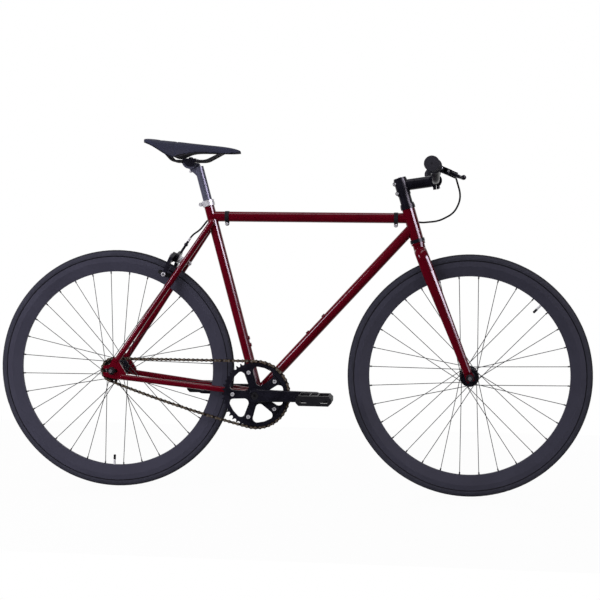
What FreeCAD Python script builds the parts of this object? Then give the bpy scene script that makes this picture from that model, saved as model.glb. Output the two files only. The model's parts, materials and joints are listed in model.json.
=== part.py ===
import math
import os

import FreeCAD
import Part

V = FreeCAD.Vector

# Fixed gear bicycle, in millimetres. +X points forward, +Y to the rider's left, +Z up.
# The origin is on the ground, midway between the two axles.

# Wheels
WHEELBASE = 991.0
TYRE_RADIUS = 336.0
TYRE_WIDTH = 25.0
TYRE_WALL = 1.8
BEAD_THICKNESS = 2.4
INNER_TUBE_WALL = 1.0
RIM_RADIUS = 317.0
RIM_DEPTH = 41.5
RIM_WIDTH = 23.0
RIM_WALL = 1.8
RIM_SPINE_WIDTH = 8.0
BRAKE_TRACK = 14.0
RIM_WELL_DEPTH = 9.0
SPOKE_COUNT = 32
SPOKE_CROSSES = 3
SPOKE_RADIUS = 1.0
SPOKE_ELBOW_ROOM = 2.4
SPOKE_END_GAP = 0.4
NIPPLE_RADIUS = 2.0
NIPPLE_LENGTH = 11.0
NIPPLE_HEAD_RADIUS = 3.0
NIPPLE_HEAD_LENGTH = 2.5
FRONT_VALVE_ANGLE = 46.1
REAR_VALVE_ANGLE = -91.6
VALVE_RADIUS = 3.0
VALVE_LENGTH = 18.0

# Hubs and axles
FLANGE_OFFSET = 33.0
FLANGE_RADIUS = 26.0
FLANGE_THICKNESS = 3.0
FLANGE_HOLE_CIRCLE = 45.0
FLANGE_HOLE_RADIUS = 1.3
HUB_BARREL_RADIUS = 15.0
HUB_FLARE = 12.0
HUB_END_RADIUS = 12.0
AXLE_RADIUS = 5.0
FRONT_SPACING = 100.0
REAR_SPACING = 120.0
LOCKNUT_RADIUS = 9.0
LOCKNUT_WIDTH = 4.0
AXLE_NUT_ACROSS = 15.0
AXLE_NUT_WIDTH = 9.0
AXLE_WASHER_RADIUS = 10.5
AXLE_WASHER_WIDTH = 1.6
AXLE_END = 4.0

# Drive
CHAIN_PITCH = 12.7
CHAIN_LINKS = 96
CHAIN_TAKE_UP = 0.6
CHAIN_LINE = 44.0
CHAINRING_TEETH = 46
COG_TEETH = 16
ROLLER_RADIUS = 3.88
PIN_RADIUS = 1.8
PIN_END = 0.3
CHAIN_INNER_WIDTH = 3.3
CHAIN_PLATE = 1.2
INNER_PLATE_RADIUS = 4.3
OUTER_PLATE_RADIUS = 4.0
ROLLER_SEAT_ANGLE = 62.0
TOOTH_RISE = 0.75
TOOTH_TIP = 0.07
SPROCKET_THICKNESS = 3.0
BOLT_CIRCLE_RADIUS = 65.0
SPIDER_ARMS = 5
SPIDER_FIRST_ANGLE = 36.0
SPIDER_THICKNESS = 4.0
SPIDER_TIP = 9.0
CHAINRING_TAB = 11.5
WINDOW_INNER = 39.0
WINDOW_OUTER = 66.0
WINDOW_SPREAD = 14.5
WINDOW_ROUND = 12.0
CHAINRING_BOLT_RADIUS = 4.0
CHAINRING_BOLT_HEAD = 5.5
CHAINRING_BOLT_CAP = 2.0
CHAINRING_NUT_CAP = 1.8
CHAINRING_KEY_RADIUS = 2.48
CRANK_LENGTH = 170.0
CRANK_OUTER_FACE = 73.0
CRANK_THICKNESS = 13.0
CRANK_HUB_RADIUS = 19.0
CRANK_EYE_RADIUS = 14.0
CRANK_ROUND = 3.0
CRANK_BOSS_GAP = 6.0
CRANK_RECESS = 7.0
SPINDLE_RADIUS = 8.5
SPINDLE_SQUARE = 12.6
SPINDLE_END = 62.0
SPINDLE_SHOULDER = 2.0
SPINDLE_ROOM = 0.5
SPINDLE_THREAD_DEPTH = 22.0
CRANK_BOLT_RADIUS = 4.0
CRANK_BOLT_HEAD_RADIUS = 10.5
CRANK_BOLT_HEAD_LENGTH = 5.0
CRANK_BOLT_LENGTH = 16.0
CRANK_KEY_RADIUS = 4.6
CARRIER_RADIUS = 17.3
COG_BOSS_RADIUS = 20.0
COG_BOSS_WIDTH = 7.0
LOCKRING_THREAD_RADIUS = 16.0
LOCKRING_RADIUS = 21.0
LOCKRING_WIDTH = 4.0
LOCKRING_NOTCHES = 3
LOCKRING_NOTCH_RADIUS = 2.5

# Pedals
PEDAL_THREAD_RADIUS = 7.1
PEDAL_COLLAR_RADIUS = 8.5
PEDAL_COLLAR_WIDTH = 4.0
PEDAL_SPINDLE_RADIUS = 5.0
PEDAL_LENGTH = 96.0
PEDAL_WIDTH = 76.0
PEDAL_THICKNESS = 27.0
PEDAL_WALL = 9.0
PEDAL_BARREL_RADIUS = 11.0
PEDAL_CORNER = 8.0
PEDAL_END_WALL = 4.0
PEDAL_GROOVE = 4.0
PEDAL_WINDOW_LOW = 6.0
PEDAL_WINDOW_HIGH = 3.0

# Frame
BOTTOM_BRACKET_DROP = 60.0
SEAT_ANGLE = 74.7
HEAD_ANGLE = 73.2
FORK_OFFSET = 34.0
TOP_TUBE_HEIGHT = 769.3
SEAT_TUBE_ABOVE = 39.6
MAIN_TUBE_RADIUS = 14.3
MAIN_TUBE_WALL = 1.55
HEAD_TUBE_RADIUS = 18.0
HEAD_TUBE_BORE = 15.2
HEAD_TUBE_START = 403.0
HEAD_TUBE_ABOVE = 27.1
DOWN_TUBE_JOIN = 36.0
SHELL_RADIUS = 20.0
SHELL_WIDTH = 68.0
SHELL_BORE = 17.4
STAY_RADIUS = 8.0
STAY_WALL = 1.4
CHAINSTAY_SHELL_Y = 23.0
SEATSTAY_TOP_Y = 18.5
SEATSTAY_TOP_DROP = 55.0
SEATSTAY_FOOT = V(15, 0, 31)
CHAINSTAY_FOOT = V(28, 0, -17)
DROPOUT_THICKNESS = 6.0
DROPOUT_SLOT_BACK = 24.0
DROPOUT_SLOT_FRONT = 12.0
DROPOUT_ROUND = 3.5
BRIDGE_HEIGHT = 640.0
BRIDGE_RADIUS = 7.0
BRIDGE_SLEEVE_HALF = 8.5
BRIDGE_SLEEVE_WALL = 3.0
BOSS_RADIUS = 5.5
BOSS_THREAD_RADIUS = 2.5
BOSS_HEIGHT = 2.6
BOSS_DEPTH = 9.0
DOWN_BOSS_FROM_SHELL = 221.0
DOWN_BOSS_PITCH = 64.0
SEAT_BOSS_FROM_SHELL = 136.0
SEAT_BOSS_PITCH = 20.0
COLLAR_THICKNESS = 3.2
COLLAR_HEIGHT = 16.0
COLLAR_EAR = 11.0
COLLAR_EAR_HALF = 8.0
COLLAR_SLIT = 2.0
COLLAR_BOLT_RADIUS = 2.5
COLLAR_BOLT_HEAD_RADIUS = 4.2
COLLAR_BOLT_HEAD = 4.0
COLLAR_NUT = 3.0

# Bearings of the frame
HEADSET_CUP_RADIUS = 20.5
HEADSET_CUP_HEIGHT = 9.5
HEADSET_CUP_INSERT = 10.0
CARTRIDGE_FLANGE_RADIUS = 19.0
CARTRIDGE_FLANGE = 3.0

# Steering
STEERER_RADIUS = 14.3
STEERER_BORE = 11.3
CROWN_RACE_RADIUS = 19.5
CROWN_RACE_HEIGHT = 6.0
CROWN_AT = 369.6
CROWN_NECK_WALL = 2.5
BLADE_TOP_DEPTH = 35.0
BLADE_TOP_WIDTH = 22.0
BLADE_TIP_DEPTH = 23.0
BLADE_TIP_WIDTH = 15.0
BLADE_SHOULDER = 310.0
BLADE_SHOULDER_Y = 33.0
BLADE_BEND_RADIUS = 26.0
BLADE_TIP_GAP = 16.0
BLADE_WALL = 1.8
FORK_END_THICKNESS = 5.0
HEADSET_COVER_RADIUS = 19.5
HEADSET_COVER_HEIGHT = 5.0
SPACER_RADIUS = 16.8
SPACER_COUNT = 2
SPACER_HEIGHT = 12.0
STEM_CLAMP_RADIUS = 18.5
STEM_CLAMP_HEIGHT = 45.0
STEM_AXIS_RISE = 27.5
STEM_LENGTH = 93.0
STEM_ANGLE = 8.5
STEM_RADIUS = 15.5
STEM_SLIT = 2.5
PINCH_BOLT_INSET = 9.0
PINCH_BOLT_RADIUS = 2.5
PINCH_EAR_RADIUS = 5.5
PINCH_EAR_HALF = 13.0
TOP_CAP_HEIGHT = 4.5
TOP_CAP_GAP = 3.0
BAR_CLAMP_RADIUS = 18.0
BAR_CLAMP_WIDTH = 44.0
FACEPLATE_GAP = 1.2
FACEPLATE_EAR_RADIUS = 4.5
FACEPLATE_EAR_BACK = 9.0
FACEPLATE_EAR_FRONT = 7.0
FACEPLATE_EAR_INSET = 8.0
BAR_CENTRE_RADIUS = 12.7
BAR_CENTRE_HALF = 34.0
BAR_RADIUS = 11.1
BAR_WALL = 2.0
BAR_RISE = 31.0
BAR_SWEEP = 11.0
BAR_HALF_WIDTH = 290.0
BAR_BEND_START = 58.0
BAR_BEND_END = 112.0
BAR_BEND_RADIUS = 55.0
GRIP_LENGTH = 118.0
GRIP_RADIUS = 15.5
GRIP_FLANGE_RADIUS = 20.0
GRIP_FLANGE_WIDTH = 4.0
GRIP_END_WALL = 3.0

# Brake
LEVER_CLAMP_RADIUS = 15.5
LEVER_CLAMP_WIDTH = 14.0
LEVER_DROP_ANGLE = 23.0
LEVER_PIVOT_REACH = 38.0
LEVER_PIVOT_RADIUS = 3.0
LEVER_BODY_HEIGHT = 17.0
LEVER_HUB_RADIUS = 8.0
LEVER_BARREL_RADIUS = 4.5
LEVER_BARREL_LENGTH = 12.0
LEVER_CABLE_REACH = 56.0
LEVER_INNER_SIDE = 22.0
LEVER_THROAT = 9.0
LEVER_ROOT = 8.0
LEVER_SLOT_OUT = 18.0
LEVER_SLOT_LOW = 11.0
LEVER_SLOT_HIGH = 30.0
LEVER_BLADE_RADIUS = 5.0
LEVER_BLADE_LENGTH = 98.0
LEVER_PATH = [(0, 0), (4, 34), (34, 44), (LEVER_BLADE_LENGTH, 48)]
LEVER_BENDS = [14.0, 40.0]
LEVER_BALL = 1.3
CABLE_RADIUS = 2.5
CABLE_SEAT = 6.0
CABLE_LARGEST_BEND = 120.0
CABLE_LEVER_RUN = 37.0
CABLE_BOW = [V(464, -80, 826), V(447, -48, 784), V(405, -8, 762), V(352, 27, 757)]
CABLE_RUN_FRONT_X = 316.0
CABLE_RUN_BACK_X = -234.0
CABLE_ADJUSTER_RUN = 22.0
CABLE_TURN = V(22, -0.5, 14)
BRAKE_BOLT_ANGLE = 23.0
BRAKE_BOLT_RADIUS = 3.0
CALIPER_STANDOFF = 24.0
CALIPER_REACH = 53.0
CALIPER_ARM_THICKNESS = 10.0
CALIPER_HUB_RADIUS = 13.0
CALIPER_ARM_WIDTH = 13.0
CALIPER_NUT_RADIUS = 6.5
CALIPER_NUT_WIDTH = 5.0
ANCHOR_END = V(24, 0, -6)
PAD_GAP = 2.2
PAD_LENGTH = 50.0
PAD_HEIGHT = 10.0
PAD_THICKNESS = 9.0
PAD_POST_RADIUS = 3.0
PAD_POST_END = 6.0
PAD_NUT_WIDTH = 4.0
ADJUSTER_X = 20.0
ADJUSTER_Z = 13.0
ADJUSTER_RADIUS = 3.6
ADJUSTER_LENGTH = 42.0
ADJUSTER_LEAN = 10.0
ADJUSTER_KNOB_RADIUS = 5.5
ADJUSTER_KNOB_FROM = 14.0
ADJUSTER_KNOB_TO = 8.0
CLIP_WIDTH = 11.0
CLIP_THICKNESS = 1.3
CLIP_EAR = 12.0
CLIP_EAR_HALF = 3.5
CLIP_SCREW_RADIUS = 3.6
CLIP_SCREW_FROM = -6.0
CLIP_SCREW_TO = 5.0
FRONT_CLIP_X = 288.0
REAR_CLIP_X = -183.0

# Seat
SEATPOST_RADIUS = 12.7
SEATPOST_WALL = 2.2
SEATPOST_INSERT = 105.0
SEATPOST_SHOWN = 103.0
SEATPOST_SOLID = 40.0
SEATPOST_HEAD_INSET = 10.0
SEATPOST_HEAD_WALL = 6.0
SEATPOST_NECK_DROP = 24.0
SEATPOST_NECK_RADIUS = 9.0
SEATPOST_NECK_WIDTH = 16.0
RAIL_RADIUS = 3.5
RAIL_HALF_SPACING = 22.0
RAIL_DROP = 1.5
CLAMP_SETBACK = 23.0
CRADLE_RADIUS = 17.0
CLAMP_HALF_WIDTH = 27.0
CLAMP_LENGTH = 39.0
CLAMP_PLATE = 7.0
CLAMP_BOLT_RADIUS = 3.0
CLAMP_BOLT_BELOW = 8.0
CLAMP_BOLT_ABOVE = 5.0
CLAMP_NUT_HEIGHT = 4.0
CLAMP_HALF_SPLIT = 0.2
PAD_CROWN = 17.0
PAD_SHOULDER_WIDTH = 0.8
PAD_SHOULDER_DROP = 0.24
PAD_BULGE_WIDTH = 0.97
PAD_BULGE_HEIGHT = 0.45
SHELL_PLATE = 2.5
SHELL_GAP = 0.5
SHELL_INSET = 3.0

# Along the saddle, from the tail to the nose: place behind the tilt axis, half width, height of
# the crown and height of the edge, both above the rails
SADDLE_STATIONS = [
    (-125, 44, 61.5, 52.5), (-112, 62, 61.5, 47), (-82, 68, 57.5, 31), (-52, 62, 54.5, 12),
    (-4, 38, 50, 18.5), (46, 24, 45.5, 22.5), (96, 19, 40.5, 21.5), (131, 15, 33.5, 22.5),
    (141, 9, 29.5, 23.5),
]

# Clearances
RUNNING_FIT = 0.06
LOOSE_FIT = 0.1
ROLLER_PLAY = 0.2
SEAT_GAP = 0.3
ACROSS = V(0, 1, 0)


# Helpers
def save(name, *solids):
    shape = solids[0] if len(solids) == 1 else Part.makeCompound(list(solids))
    shape.exportStep("parts/" + name + ".step")


def rod(start, end, radius):
    return Part.makeCylinder(radius, (end - start).Length, start, end - start)


def hollow_rod(start, end, radius, bore):
    return rod(start, end, radius).cut(rod(start, end, bore))


def disc(x, z, radius, y_from, y_to):
    return Part.makeCylinder(radius, y_to - y_from, V(x, y_from, z), ACROSS)


def plate(points, y_from, y_to):
    """A flat outline of (x, z) points, drawn at y_from and pushed to y_to."""
    corners = [V(x, y_from, z) for x, z in points]
    face = Part.Face(Part.makePolygon(corners + corners[:1]))
    return face.extrude(V(0, y_to - y_from, 0))


def straight_block(x_from, x_to, z_from, z_to, y_from, y_to):
    """A straight sided block between two x, two z and two y."""
    return plate([(x_from, z_from), (x_to, z_from), (x_to, z_to), (x_from, z_to)], y_from, y_to)


def hexagon(x, z, corner, y_from, y_to):
    turns = [math.radians(60 * i) for i in range(6)]
    return plate([(x + corner * math.cos(t), z + corner * math.sin(t)) for t in turns], y_from, y_to)


def hull_of_two_circles(start, end, start_radius, end_radius):
    """The outline of a lever: two circles in a plane of constant y, with their outer tangents."""
    span = end - start
    lean = math.acos((start_radius - end_radius) / span.Length)
    heading = math.atan2(span.z, span.x)

    def on(centre, radius, angle):
        return centre + V(radius * math.cos(angle), 0, radius * math.sin(angle))

    upper, lower = heading + lean, heading - lean
    far = [on(end, end_radius, angle) for angle in (upper, heading, lower)]
    near = [on(start, start_radius, angle) for angle in (lower, heading + math.pi, upper)]
    edges = [
        Part.LineSegment(near[2], far[0]).toShape(),
        Part.Arc(*far).toShape(),
        Part.LineSegment(far[2], near[0]).toShape(),
        Part.Arc(*near).toShape(),
    ]
    return Part.Face(Part.Wire(edges))


def tapered_link(start, end, start_radius, end_radius, thickness):
    return hull_of_two_circles(start, end, start_radius, end_radius).extrude(V(0, thickness, 0))


def revolve_about_axle(profile, x, z):
    """A closed list of (radius, y) points, or a face drawn that way, turned about an axle along y."""
    if isinstance(profile, list):
        corners = [V(radius, y, 0) for radius, y in profile]
        profile = Part.Face(Part.makePolygon(corners + corners[:1]))
    solid = profile.revolve(V(0, 0, 0), ACROSS, 360)
    return solid.translated(V(x, 0, z))


def prism(start, end, radius, sides):
    """A straight bar of regular polygon section."""
    along = (end - start).normalize()
    across = along.cross(V(0.31, 0.55, 0.77)).normalize()
    third = along.cross(across)
    corners = []
    for i in range(sides):
        turn = 2 * math.pi * i / sides
        corners.append(start + across * (radius * math.cos(turn)) + third * (radius * math.sin(turn)))
    face = Part.Face(Part.makePolygon(corners + corners[:1]))
    return face.extrude(end - start)


def turned(shape, degrees, x=0.0, z=0.0):
    """A copy turned about an axle along y, counter-clockwise as seen from the right side."""
    copy = shape.copy()
    copy.rotate(V(x, 0, z), ACROSS, -degrees)
    return copy


def mirrored(shape):
    return shape.mirror(V(0, 0, 0), ACROSS)


def rounded_path(points, radii):
    """Straight runs joined by tangent arcs: one radius for each inner point."""
    edges = []
    here = points[0]
    for i in range(1, len(points) - 1):
        corner = points[i]
        back = (points[i - 1] - corner).normalize()
        ahead = (points[i + 1] - corner).normalize()
        half = back.getAngle(ahead) / 2
        reach = radii[i - 1] / math.tan(half)
        middle = (back + ahead).normalize()
        centre = corner + middle * (radii[i - 1] / math.sin(half))
        arc_start = corner + back * reach
        arc_end = corner + ahead * reach
        edges.append(Part.LineSegment(here, arc_start).toShape())
        edges.append(Part.Arc(arc_start, centre - middle * radii[i - 1], arc_end).toShape())
        here = arc_end
    edges.append(Part.LineSegment(here, points[-1]).toShape())
    return Part.Wire(edges)


def swept_round(path, radius):
    first = path.Edges[0]
    start = first.valueAt(first.FirstParameter)
    heading = first.tangentAt(first.FirstParameter)
    ring = Part.Wire(Part.makeCircle(radius, start, heading))
    return path.makePipeShell([ring], True, False)


# Main points of the frame
half_base = WHEELBASE / 2
front_axle = V(half_base, 0, TYRE_RADIUS)
rear_axle = V(-half_base, 0, TYRE_RADIUS)
chainring_radius = CHAIN_PITCH / (2 * math.sin(math.pi / CHAINRING_TEETH))
cog_radius = CHAIN_PITCH / (2 * math.sin(math.pi / COG_TEETH))


def sprocket_distance():
    """The centre distance at which the chain, pulled up by its take-up, wraps both sprockets."""
    length = CHAIN_LINKS * CHAIN_PITCH + CHAIN_TAKE_UP
    step = chainring_radius - cog_radius
    short, long = step * 1.01, length / 2
    while long - short > 1e-6:
        middle = (short + long) / 2
        lean = math.asin(step / middle)
        runs = 2 * math.sqrt(middle**2 - step**2)
        wraps = chainring_radius * (math.pi + 2 * lean) + cog_radius * (math.pi - 2 * lean)
        if runs + wraps < length:
            short = middle
        else:
            long = middle
    return short


centre_distance = sprocket_distance()
shell_centre = V(
    rear_axle.x + math.sqrt(centre_distance**2 - BOTTOM_BRACKET_DROP**2),
    0,
    TYRE_RADIUS - BOTTOM_BRACKET_DROP,
)
seat_way = V(-math.cos(math.radians(SEAT_ANGLE)), 0, math.sin(math.radians(SEAT_ANGLE)))
steer_way = V(-math.cos(math.radians(HEAD_ANGLE)), 0, math.sin(math.radians(HEAD_ANGLE)))
steer_front = V(math.sin(math.radians(HEAD_ANGLE)), 0, math.cos(math.radians(HEAD_ANGLE)))
steer_foot = front_axle - steer_front * FORK_OFFSET


def on_seat_tube(distance):
    return shell_centre + seat_way * distance


def on_steering(distance):
    return steer_foot + steer_way * distance


seat_tube_length = (TOP_TUBE_HEIGHT - shell_centre.z) / seat_way.z + SEAT_TUBE_ABOVE
head_tube_end = (TOP_TUBE_HEIGHT - steer_foot.z) / steer_way.z + HEAD_TUBE_ABOVE
head_low = on_steering(HEAD_TUBE_START)
head_high = on_steering(head_tube_end)
seat_top = on_seat_tube(seat_tube_length)
top_tube_seat = on_seat_tube((TOP_TUBE_HEIGHT - shell_centre.z) / seat_way.z)
top_tube_head = on_steering((TOP_TUBE_HEIGHT - steer_foot.z) / steer_way.z)
down_tube_head = on_steering(HEAD_TUBE_START + DOWN_TUBE_JOIN)
main_bore = MAIN_TUBE_RADIUS - MAIN_TUBE_WALL


# Frame tubes, mitred to each other
def seat_tube_core(radius):
    return rod(on_seat_tube(-SHELL_RADIUS), seat_top, radius)


def shell_core(radius):
    return disc(shell_centre.x, shell_centre.z, radius, -SHELL_WIDTH / 2, SHELL_WIDTH / 2)


def head_core(radius):
    return rod(head_low, head_high, radius)


def bosses_on(tube, start, way, pitch, outward):
    """Two threaded bosses brazed into one side of a tube."""
    for distance in (0, pitch):
        foot = start + way * distance
        face = foot + outward * (MAIN_TUBE_RADIUS + BOSS_HEIGHT)
        inner = face - outward * BOSS_DEPTH
        tube = tube.fuse(rod(inner, face, BOSS_RADIUS)).cut(rod(inner, face, BOSS_THREAD_RADIUS))
    return tube


def frame_tubes():
    head_tube = hollow_rod(head_low, head_high, HEAD_TUBE_RADIUS, HEAD_TUBE_BORE)
    save("head_tube", head_tube)

    shell = shell_core(SHELL_RADIUS).cut(shell_core(SHELL_BORE))
    save("bottom_bracket_shell", shell)

    seat_tube = hollow_rod(shell_centre, seat_top, MAIN_TUBE_RADIUS, main_bore)
    seat_tube = seat_tube.cut(shell_core(SHELL_RADIUS))
    seat_front = V(seat_way.z, 0, -seat_way.x)
    first_boss = on_seat_tube(SEAT_BOSS_FROM_SHELL)
    seat_tube = bosses_on(seat_tube, first_boss, seat_way, SEAT_BOSS_PITCH, seat_front)
    slot_top = seat_top - seat_front * MAIN_TUBE_RADIUS
    slot = Part.makeBox(2 * MAIN_TUBE_WALL + 4, COLLAR_SLIT, 2 * COLLAR_HEIGHT)
    slot.translate(V(-MAIN_TUBE_WALL - 2, -COLLAR_SLIT / 2, -COLLAR_HEIGHT))
    slot.rotate(V(0, 0, 0), ACROSS, SEAT_ANGLE - 90)
    slot.translate(slot_top)
    save("seat_tube", seat_tube.cut(slot))

    top_tube = hollow_rod(top_tube_seat, top_tube_head, MAIN_TUBE_RADIUS, main_bore)
    top_tube = top_tube.cut(seat_tube_core(MAIN_TUBE_RADIUS)).cut(head_core(HEAD_TUBE_RADIUS))
    save("top_tube", top_tube)

    down_way = (down_tube_head - shell_centre).normalize()
    down_tube = hollow_rod(shell_centre, down_tube_head, MAIN_TUBE_RADIUS, main_bore)
    down_tube = down_tube.cut(shell_core(SHELL_RADIUS)).cut(head_core(HEAD_TUBE_RADIUS))
    down_tube = down_tube.cut(seat_tube_core(MAIN_TUBE_RADIUS))
    down_up = V(-down_way.z, 0, down_way.x)
    first_boss = shell_centre + down_way * DOWN_BOSS_FROM_SHELL
    down_tube = bosses_on(down_tube, first_boss, down_way, DOWN_BOSS_PITCH, down_up)
    save("down_tube", down_tube)


# Rear triangle
rear_face = REAR_SPACING / 2
stay_end_y = rear_face + DROPOUT_THICKNESS / 2
seatstay_top = on_seat_tube(seat_tube_length - SEATSTAY_TOP_DROP)
seatstay_foot = rear_axle + SEATSTAY_FOOT
chainstay_foot = rear_axle + CHAINSTAY_FOOT


def dropout_plate():
    """A track fork end of the left side: a plate with a slot that opens to the rear."""
    x, z = rear_axle.x, rear_axle.z
    outline = [
        (-DROPOUT_SLOT_BACK, -14), (-DROPOUT_SLOT_BACK, 13), (-6, 17), (5, 38), (17, 38),
        (22, 24), (40, -6), (40, -22), (20, -24), (-12, -19),
    ]
    body = plate([(x + along, z + up) for along, up in outline], 0, DROPOUT_THICKNESS)
    upright = [e for e in body.Edges if abs(e.tangentAt(e.FirstParameter).y) > 0.99]
    body = body.makeFillet(DROPOUT_ROUND, upright)
    half = AXLE_RADIUS + RUNNING_FIT * 2
    front = x + DROPOUT_SLOT_FRONT
    slot = straight_block(x - DROPOUT_SLOT_BACK - 1, front, z - half, z + half, 0, DROPOUT_THICKNESS)
    slot = slot.fuse(disc(front, z, half, 0, DROPOUT_THICKNESS))
    return body.cut(slot).translated(V(0, rear_face, 0))


def rear_triangle():
    dropout = dropout_plate()
    shell_end = V(shell_centre.x, CHAINSTAY_SHELL_Y, shell_centre.z)
    foot = chainstay_foot + V(0, stay_end_y, 0)
    chainstay = hollow_rod(shell_end, foot, STAY_RADIUS, STAY_RADIUS - STAY_WALL)
    tip = Part.makeSphere(STAY_RADIUS, foot)
    chainstay = chainstay.fuse(tip).cut(shell_core(SHELL_RADIUS)).cut(dropout).removeSplitter()
    chainstay = max(chainstay.Solids, key=lambda s: s.Volume)
    save("chainstays", mirrored(chainstay), chainstay, mirrored(dropout), dropout)

    top = seatstay_top + V(0, SEATSTAY_TOP_Y, 0)
    foot = seatstay_foot + V(0, stay_end_y, 0)
    seatstay = hollow_rod(top, foot, STAY_RADIUS, STAY_RADIUS - STAY_WALL)
    seatstay = seatstay.fuse(Part.makeSphere(STAY_RADIUS, foot)).fuse(Part.makeSphere(STAY_RADIUS, top))
    seatstay = seatstay.cut(seat_tube_core(MAIN_TUBE_RADIUS)).cut(dropout).removeSplitter()
    seatstay = max(seatstay.Solids, key=lambda s: s.Volume)
    stay_core = rod(top, foot, STAY_RADIUS)
    bridge = bridge_tube().cut(stay_core).cut(mirrored(stay_core))
    bridge = max(bridge.Solids, key=lambda s: s.Volume)
    save("seatstays", mirrored(seatstay), seatstay, bridge)


stay_share = (BRIDGE_HEIGHT - seatstay_foot.z) / (seatstay_top.z - seatstay_foot.z)
bridge_centre = seatstay_foot + (seatstay_top - seatstay_foot) * stay_share
bridge_half = stay_end_y + (SEATSTAY_TOP_Y - stay_end_y) * stay_share
bolt_way = V(-math.cos(math.radians(BRAKE_BOLT_ANGLE)), 0, math.sin(math.radians(BRAKE_BOLT_ANGLE)))
reach_way = V(-bolt_way.z, 0, bolt_way.x)


def bridge_tube():
    """The tube between the seat stays, with a sleeve that takes the brake bolt."""
    x, z = bridge_centre.x, bridge_centre.z
    tube = disc(x, z, BRIDGE_RADIUS, -bridge_half, bridge_half)
    tube = tube.cut(disc(x, z, BRIDGE_RADIUS - STAY_WALL, -bridge_half, bridge_half))
    front = bridge_centre - bolt_way * BRIDGE_SLEEVE_HALF
    back = bridge_centre + bolt_way * BRIDGE_SLEEVE_HALF
    tube = tube.fuse(rod(front, back, BRAKE_BOLT_RADIUS + BRIDGE_SLEEVE_WALL))
    return tube.cut(rod(front, back, BRAKE_BOLT_RADIUS + RUNNING_FIT))


def seat_collar():
    """A split band round the top of the seat tube, with two ears to the rear and a bolt through them."""
    low = seat_top - seat_way * (COLLAR_HEIGHT * 0.6)
    high = seat_top + seat_way * (COLLAR_HEIGHT * 0.4)
    outer = MAIN_TUBE_RADIUS + COLLAR_THICKNESS
    half = COLLAR_EAR_HALF
    seat_back = V(-seat_way.z, 0, seat_way.x)
    ear = seat_top + seat_back * (outer + COLLAR_EAR / 2 - 2)
    ears = disc(ear.x, ear.z, COLLAR_EAR / 2, -half, half)
    neck = rod(seat_top + seat_back * (outer - 3), ear, COLLAR_EAR / 2)
    neck = neck.common(disc(ear.x, ear.z, COLLAR_EAR * 2, -half, half))
    band = rod(low, high, outer).fuse(ears).fuse(neck)
    band = band.cut(rod(low, seat_top + seat_way * SEAT_GAP, MAIN_TUBE_RADIUS + RUNNING_FIT))
    band = band.cut(rod(low, high, SEATPOST_RADIUS + RUNNING_FIT))
    split = Part.makeBox(COLLAR_EAR * 2 + outer, COLLAR_SLIT, COLLAR_HEIGHT * 2)
    split.translate(V(-COLLAR_EAR * 2 - outer, -COLLAR_SLIT / 2, -COLLAR_HEIGHT))
    split.rotate(V(0, 0, 0), ACROSS, SEAT_ANGLE - 90)
    split.translate(seat_top)
    head_end, nut_end = -half - COLLAR_BOLT_HEAD, half + COLLAR_NUT
    bolt_hole = disc(ear.x, ear.z, COLLAR_BOLT_RADIUS + LOOSE_FIT, head_end, nut_end)
    save("seat_collar", band.cut(split).cut(bolt_hole).removeSplitter())

    bolt = disc(ear.x, ear.z, COLLAR_BOLT_RADIUS, -half, nut_end - 1)
    bolt = bolt.fuse(disc(ear.x, ear.z, COLLAR_BOLT_HEAD_RADIUS, head_end, -half))
    bolt = bolt.fuse(disc(ear.x, ear.z, COLLAR_BOLT_HEAD_RADIUS, half, nut_end))
    save("seat_collar_bolt", bolt.removeSplitter())


def headset_cups():
    """The two cups pressed into the head tube, each with its lip against the tube's end."""
    cups = []
    for end, way in ((head_low, steer_way * -1), (head_high, steer_way)):
        inner, outer = end - way * HEADSET_CUP_INSERT, end + way * HEADSET_CUP_HEIGHT
        cup = rod(end, outer, HEADSET_CUP_RADIUS).fuse(rod(inner, end, HEAD_TUBE_BORE))
        cup = cup.cut(rod(inner, outer, STEERER_RADIUS + RUNNING_FIT))
        cups.append(cup.removeSplitter())
    save("headset_cups", *cups)


def spindle_square(half, y_from, y_to):
    """A square bar on the axis of the cranks."""
    x, z = shell_centre.x, shell_centre.z
    return straight_block(x - half, x + half, z - half, z + half, y_from, y_to)


def bottom_bracket():
    """The sealed cartridge in the shell and the spindle that turns in it."""
    half = SHELL_WIDTH / 2
    x, z = shell_centre.x, shell_centre.z
    cartridge = disc(x, z, SHELL_BORE, -half, half)
    for y in (-half - CARTRIDGE_FLANGE, half):
        cartridge = cartridge.fuse(disc(x, z, CARTRIDGE_FLANGE_RADIUS, y, y + CARTRIDGE_FLANGE))
    end = half + CARTRIDGE_FLANGE
    cartridge = cartridge.cut(disc(x, z, SPINDLE_RADIUS + RUNNING_FIT, -end, end)).removeSplitter()
    save("bottom_bracket_cartridge", cartridge)

    spindle = disc(x, z, SPINDLE_RADIUS, -end - SPINDLE_SHOULDER, end + SPINDLE_SHOULDER)
    thread_end = SPINDLE_END - SPINDLE_THREAD_DEPTH
    square_from = end + SPINDLE_SHOULDER / 2
    for y_from, y_to in ((-SPINDLE_END, -square_from), (square_from, SPINDLE_END)):
        spindle = spindle.fuse(spindle_square(SPINDLE_SQUARE / 2, y_from, y_to))
    for y_from, y_to in ((-SPINDLE_END, -thread_end), (thread_end, SPINDLE_END)):
        spindle = spindle.cut(disc(x, z, CRANK_BOLT_RADIUS + RUNNING_FIT, y_from, y_to))
    save("bottom_bracket_spindle", spindle.removeSplitter())


# Wheels, drawn about the origin and then moved to their axles
def on_wheel(radius, degrees, y=0.0):
    angle = math.radians(degrees)
    return V(radius * math.cos(angle), y, radius * math.sin(angle))


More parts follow.
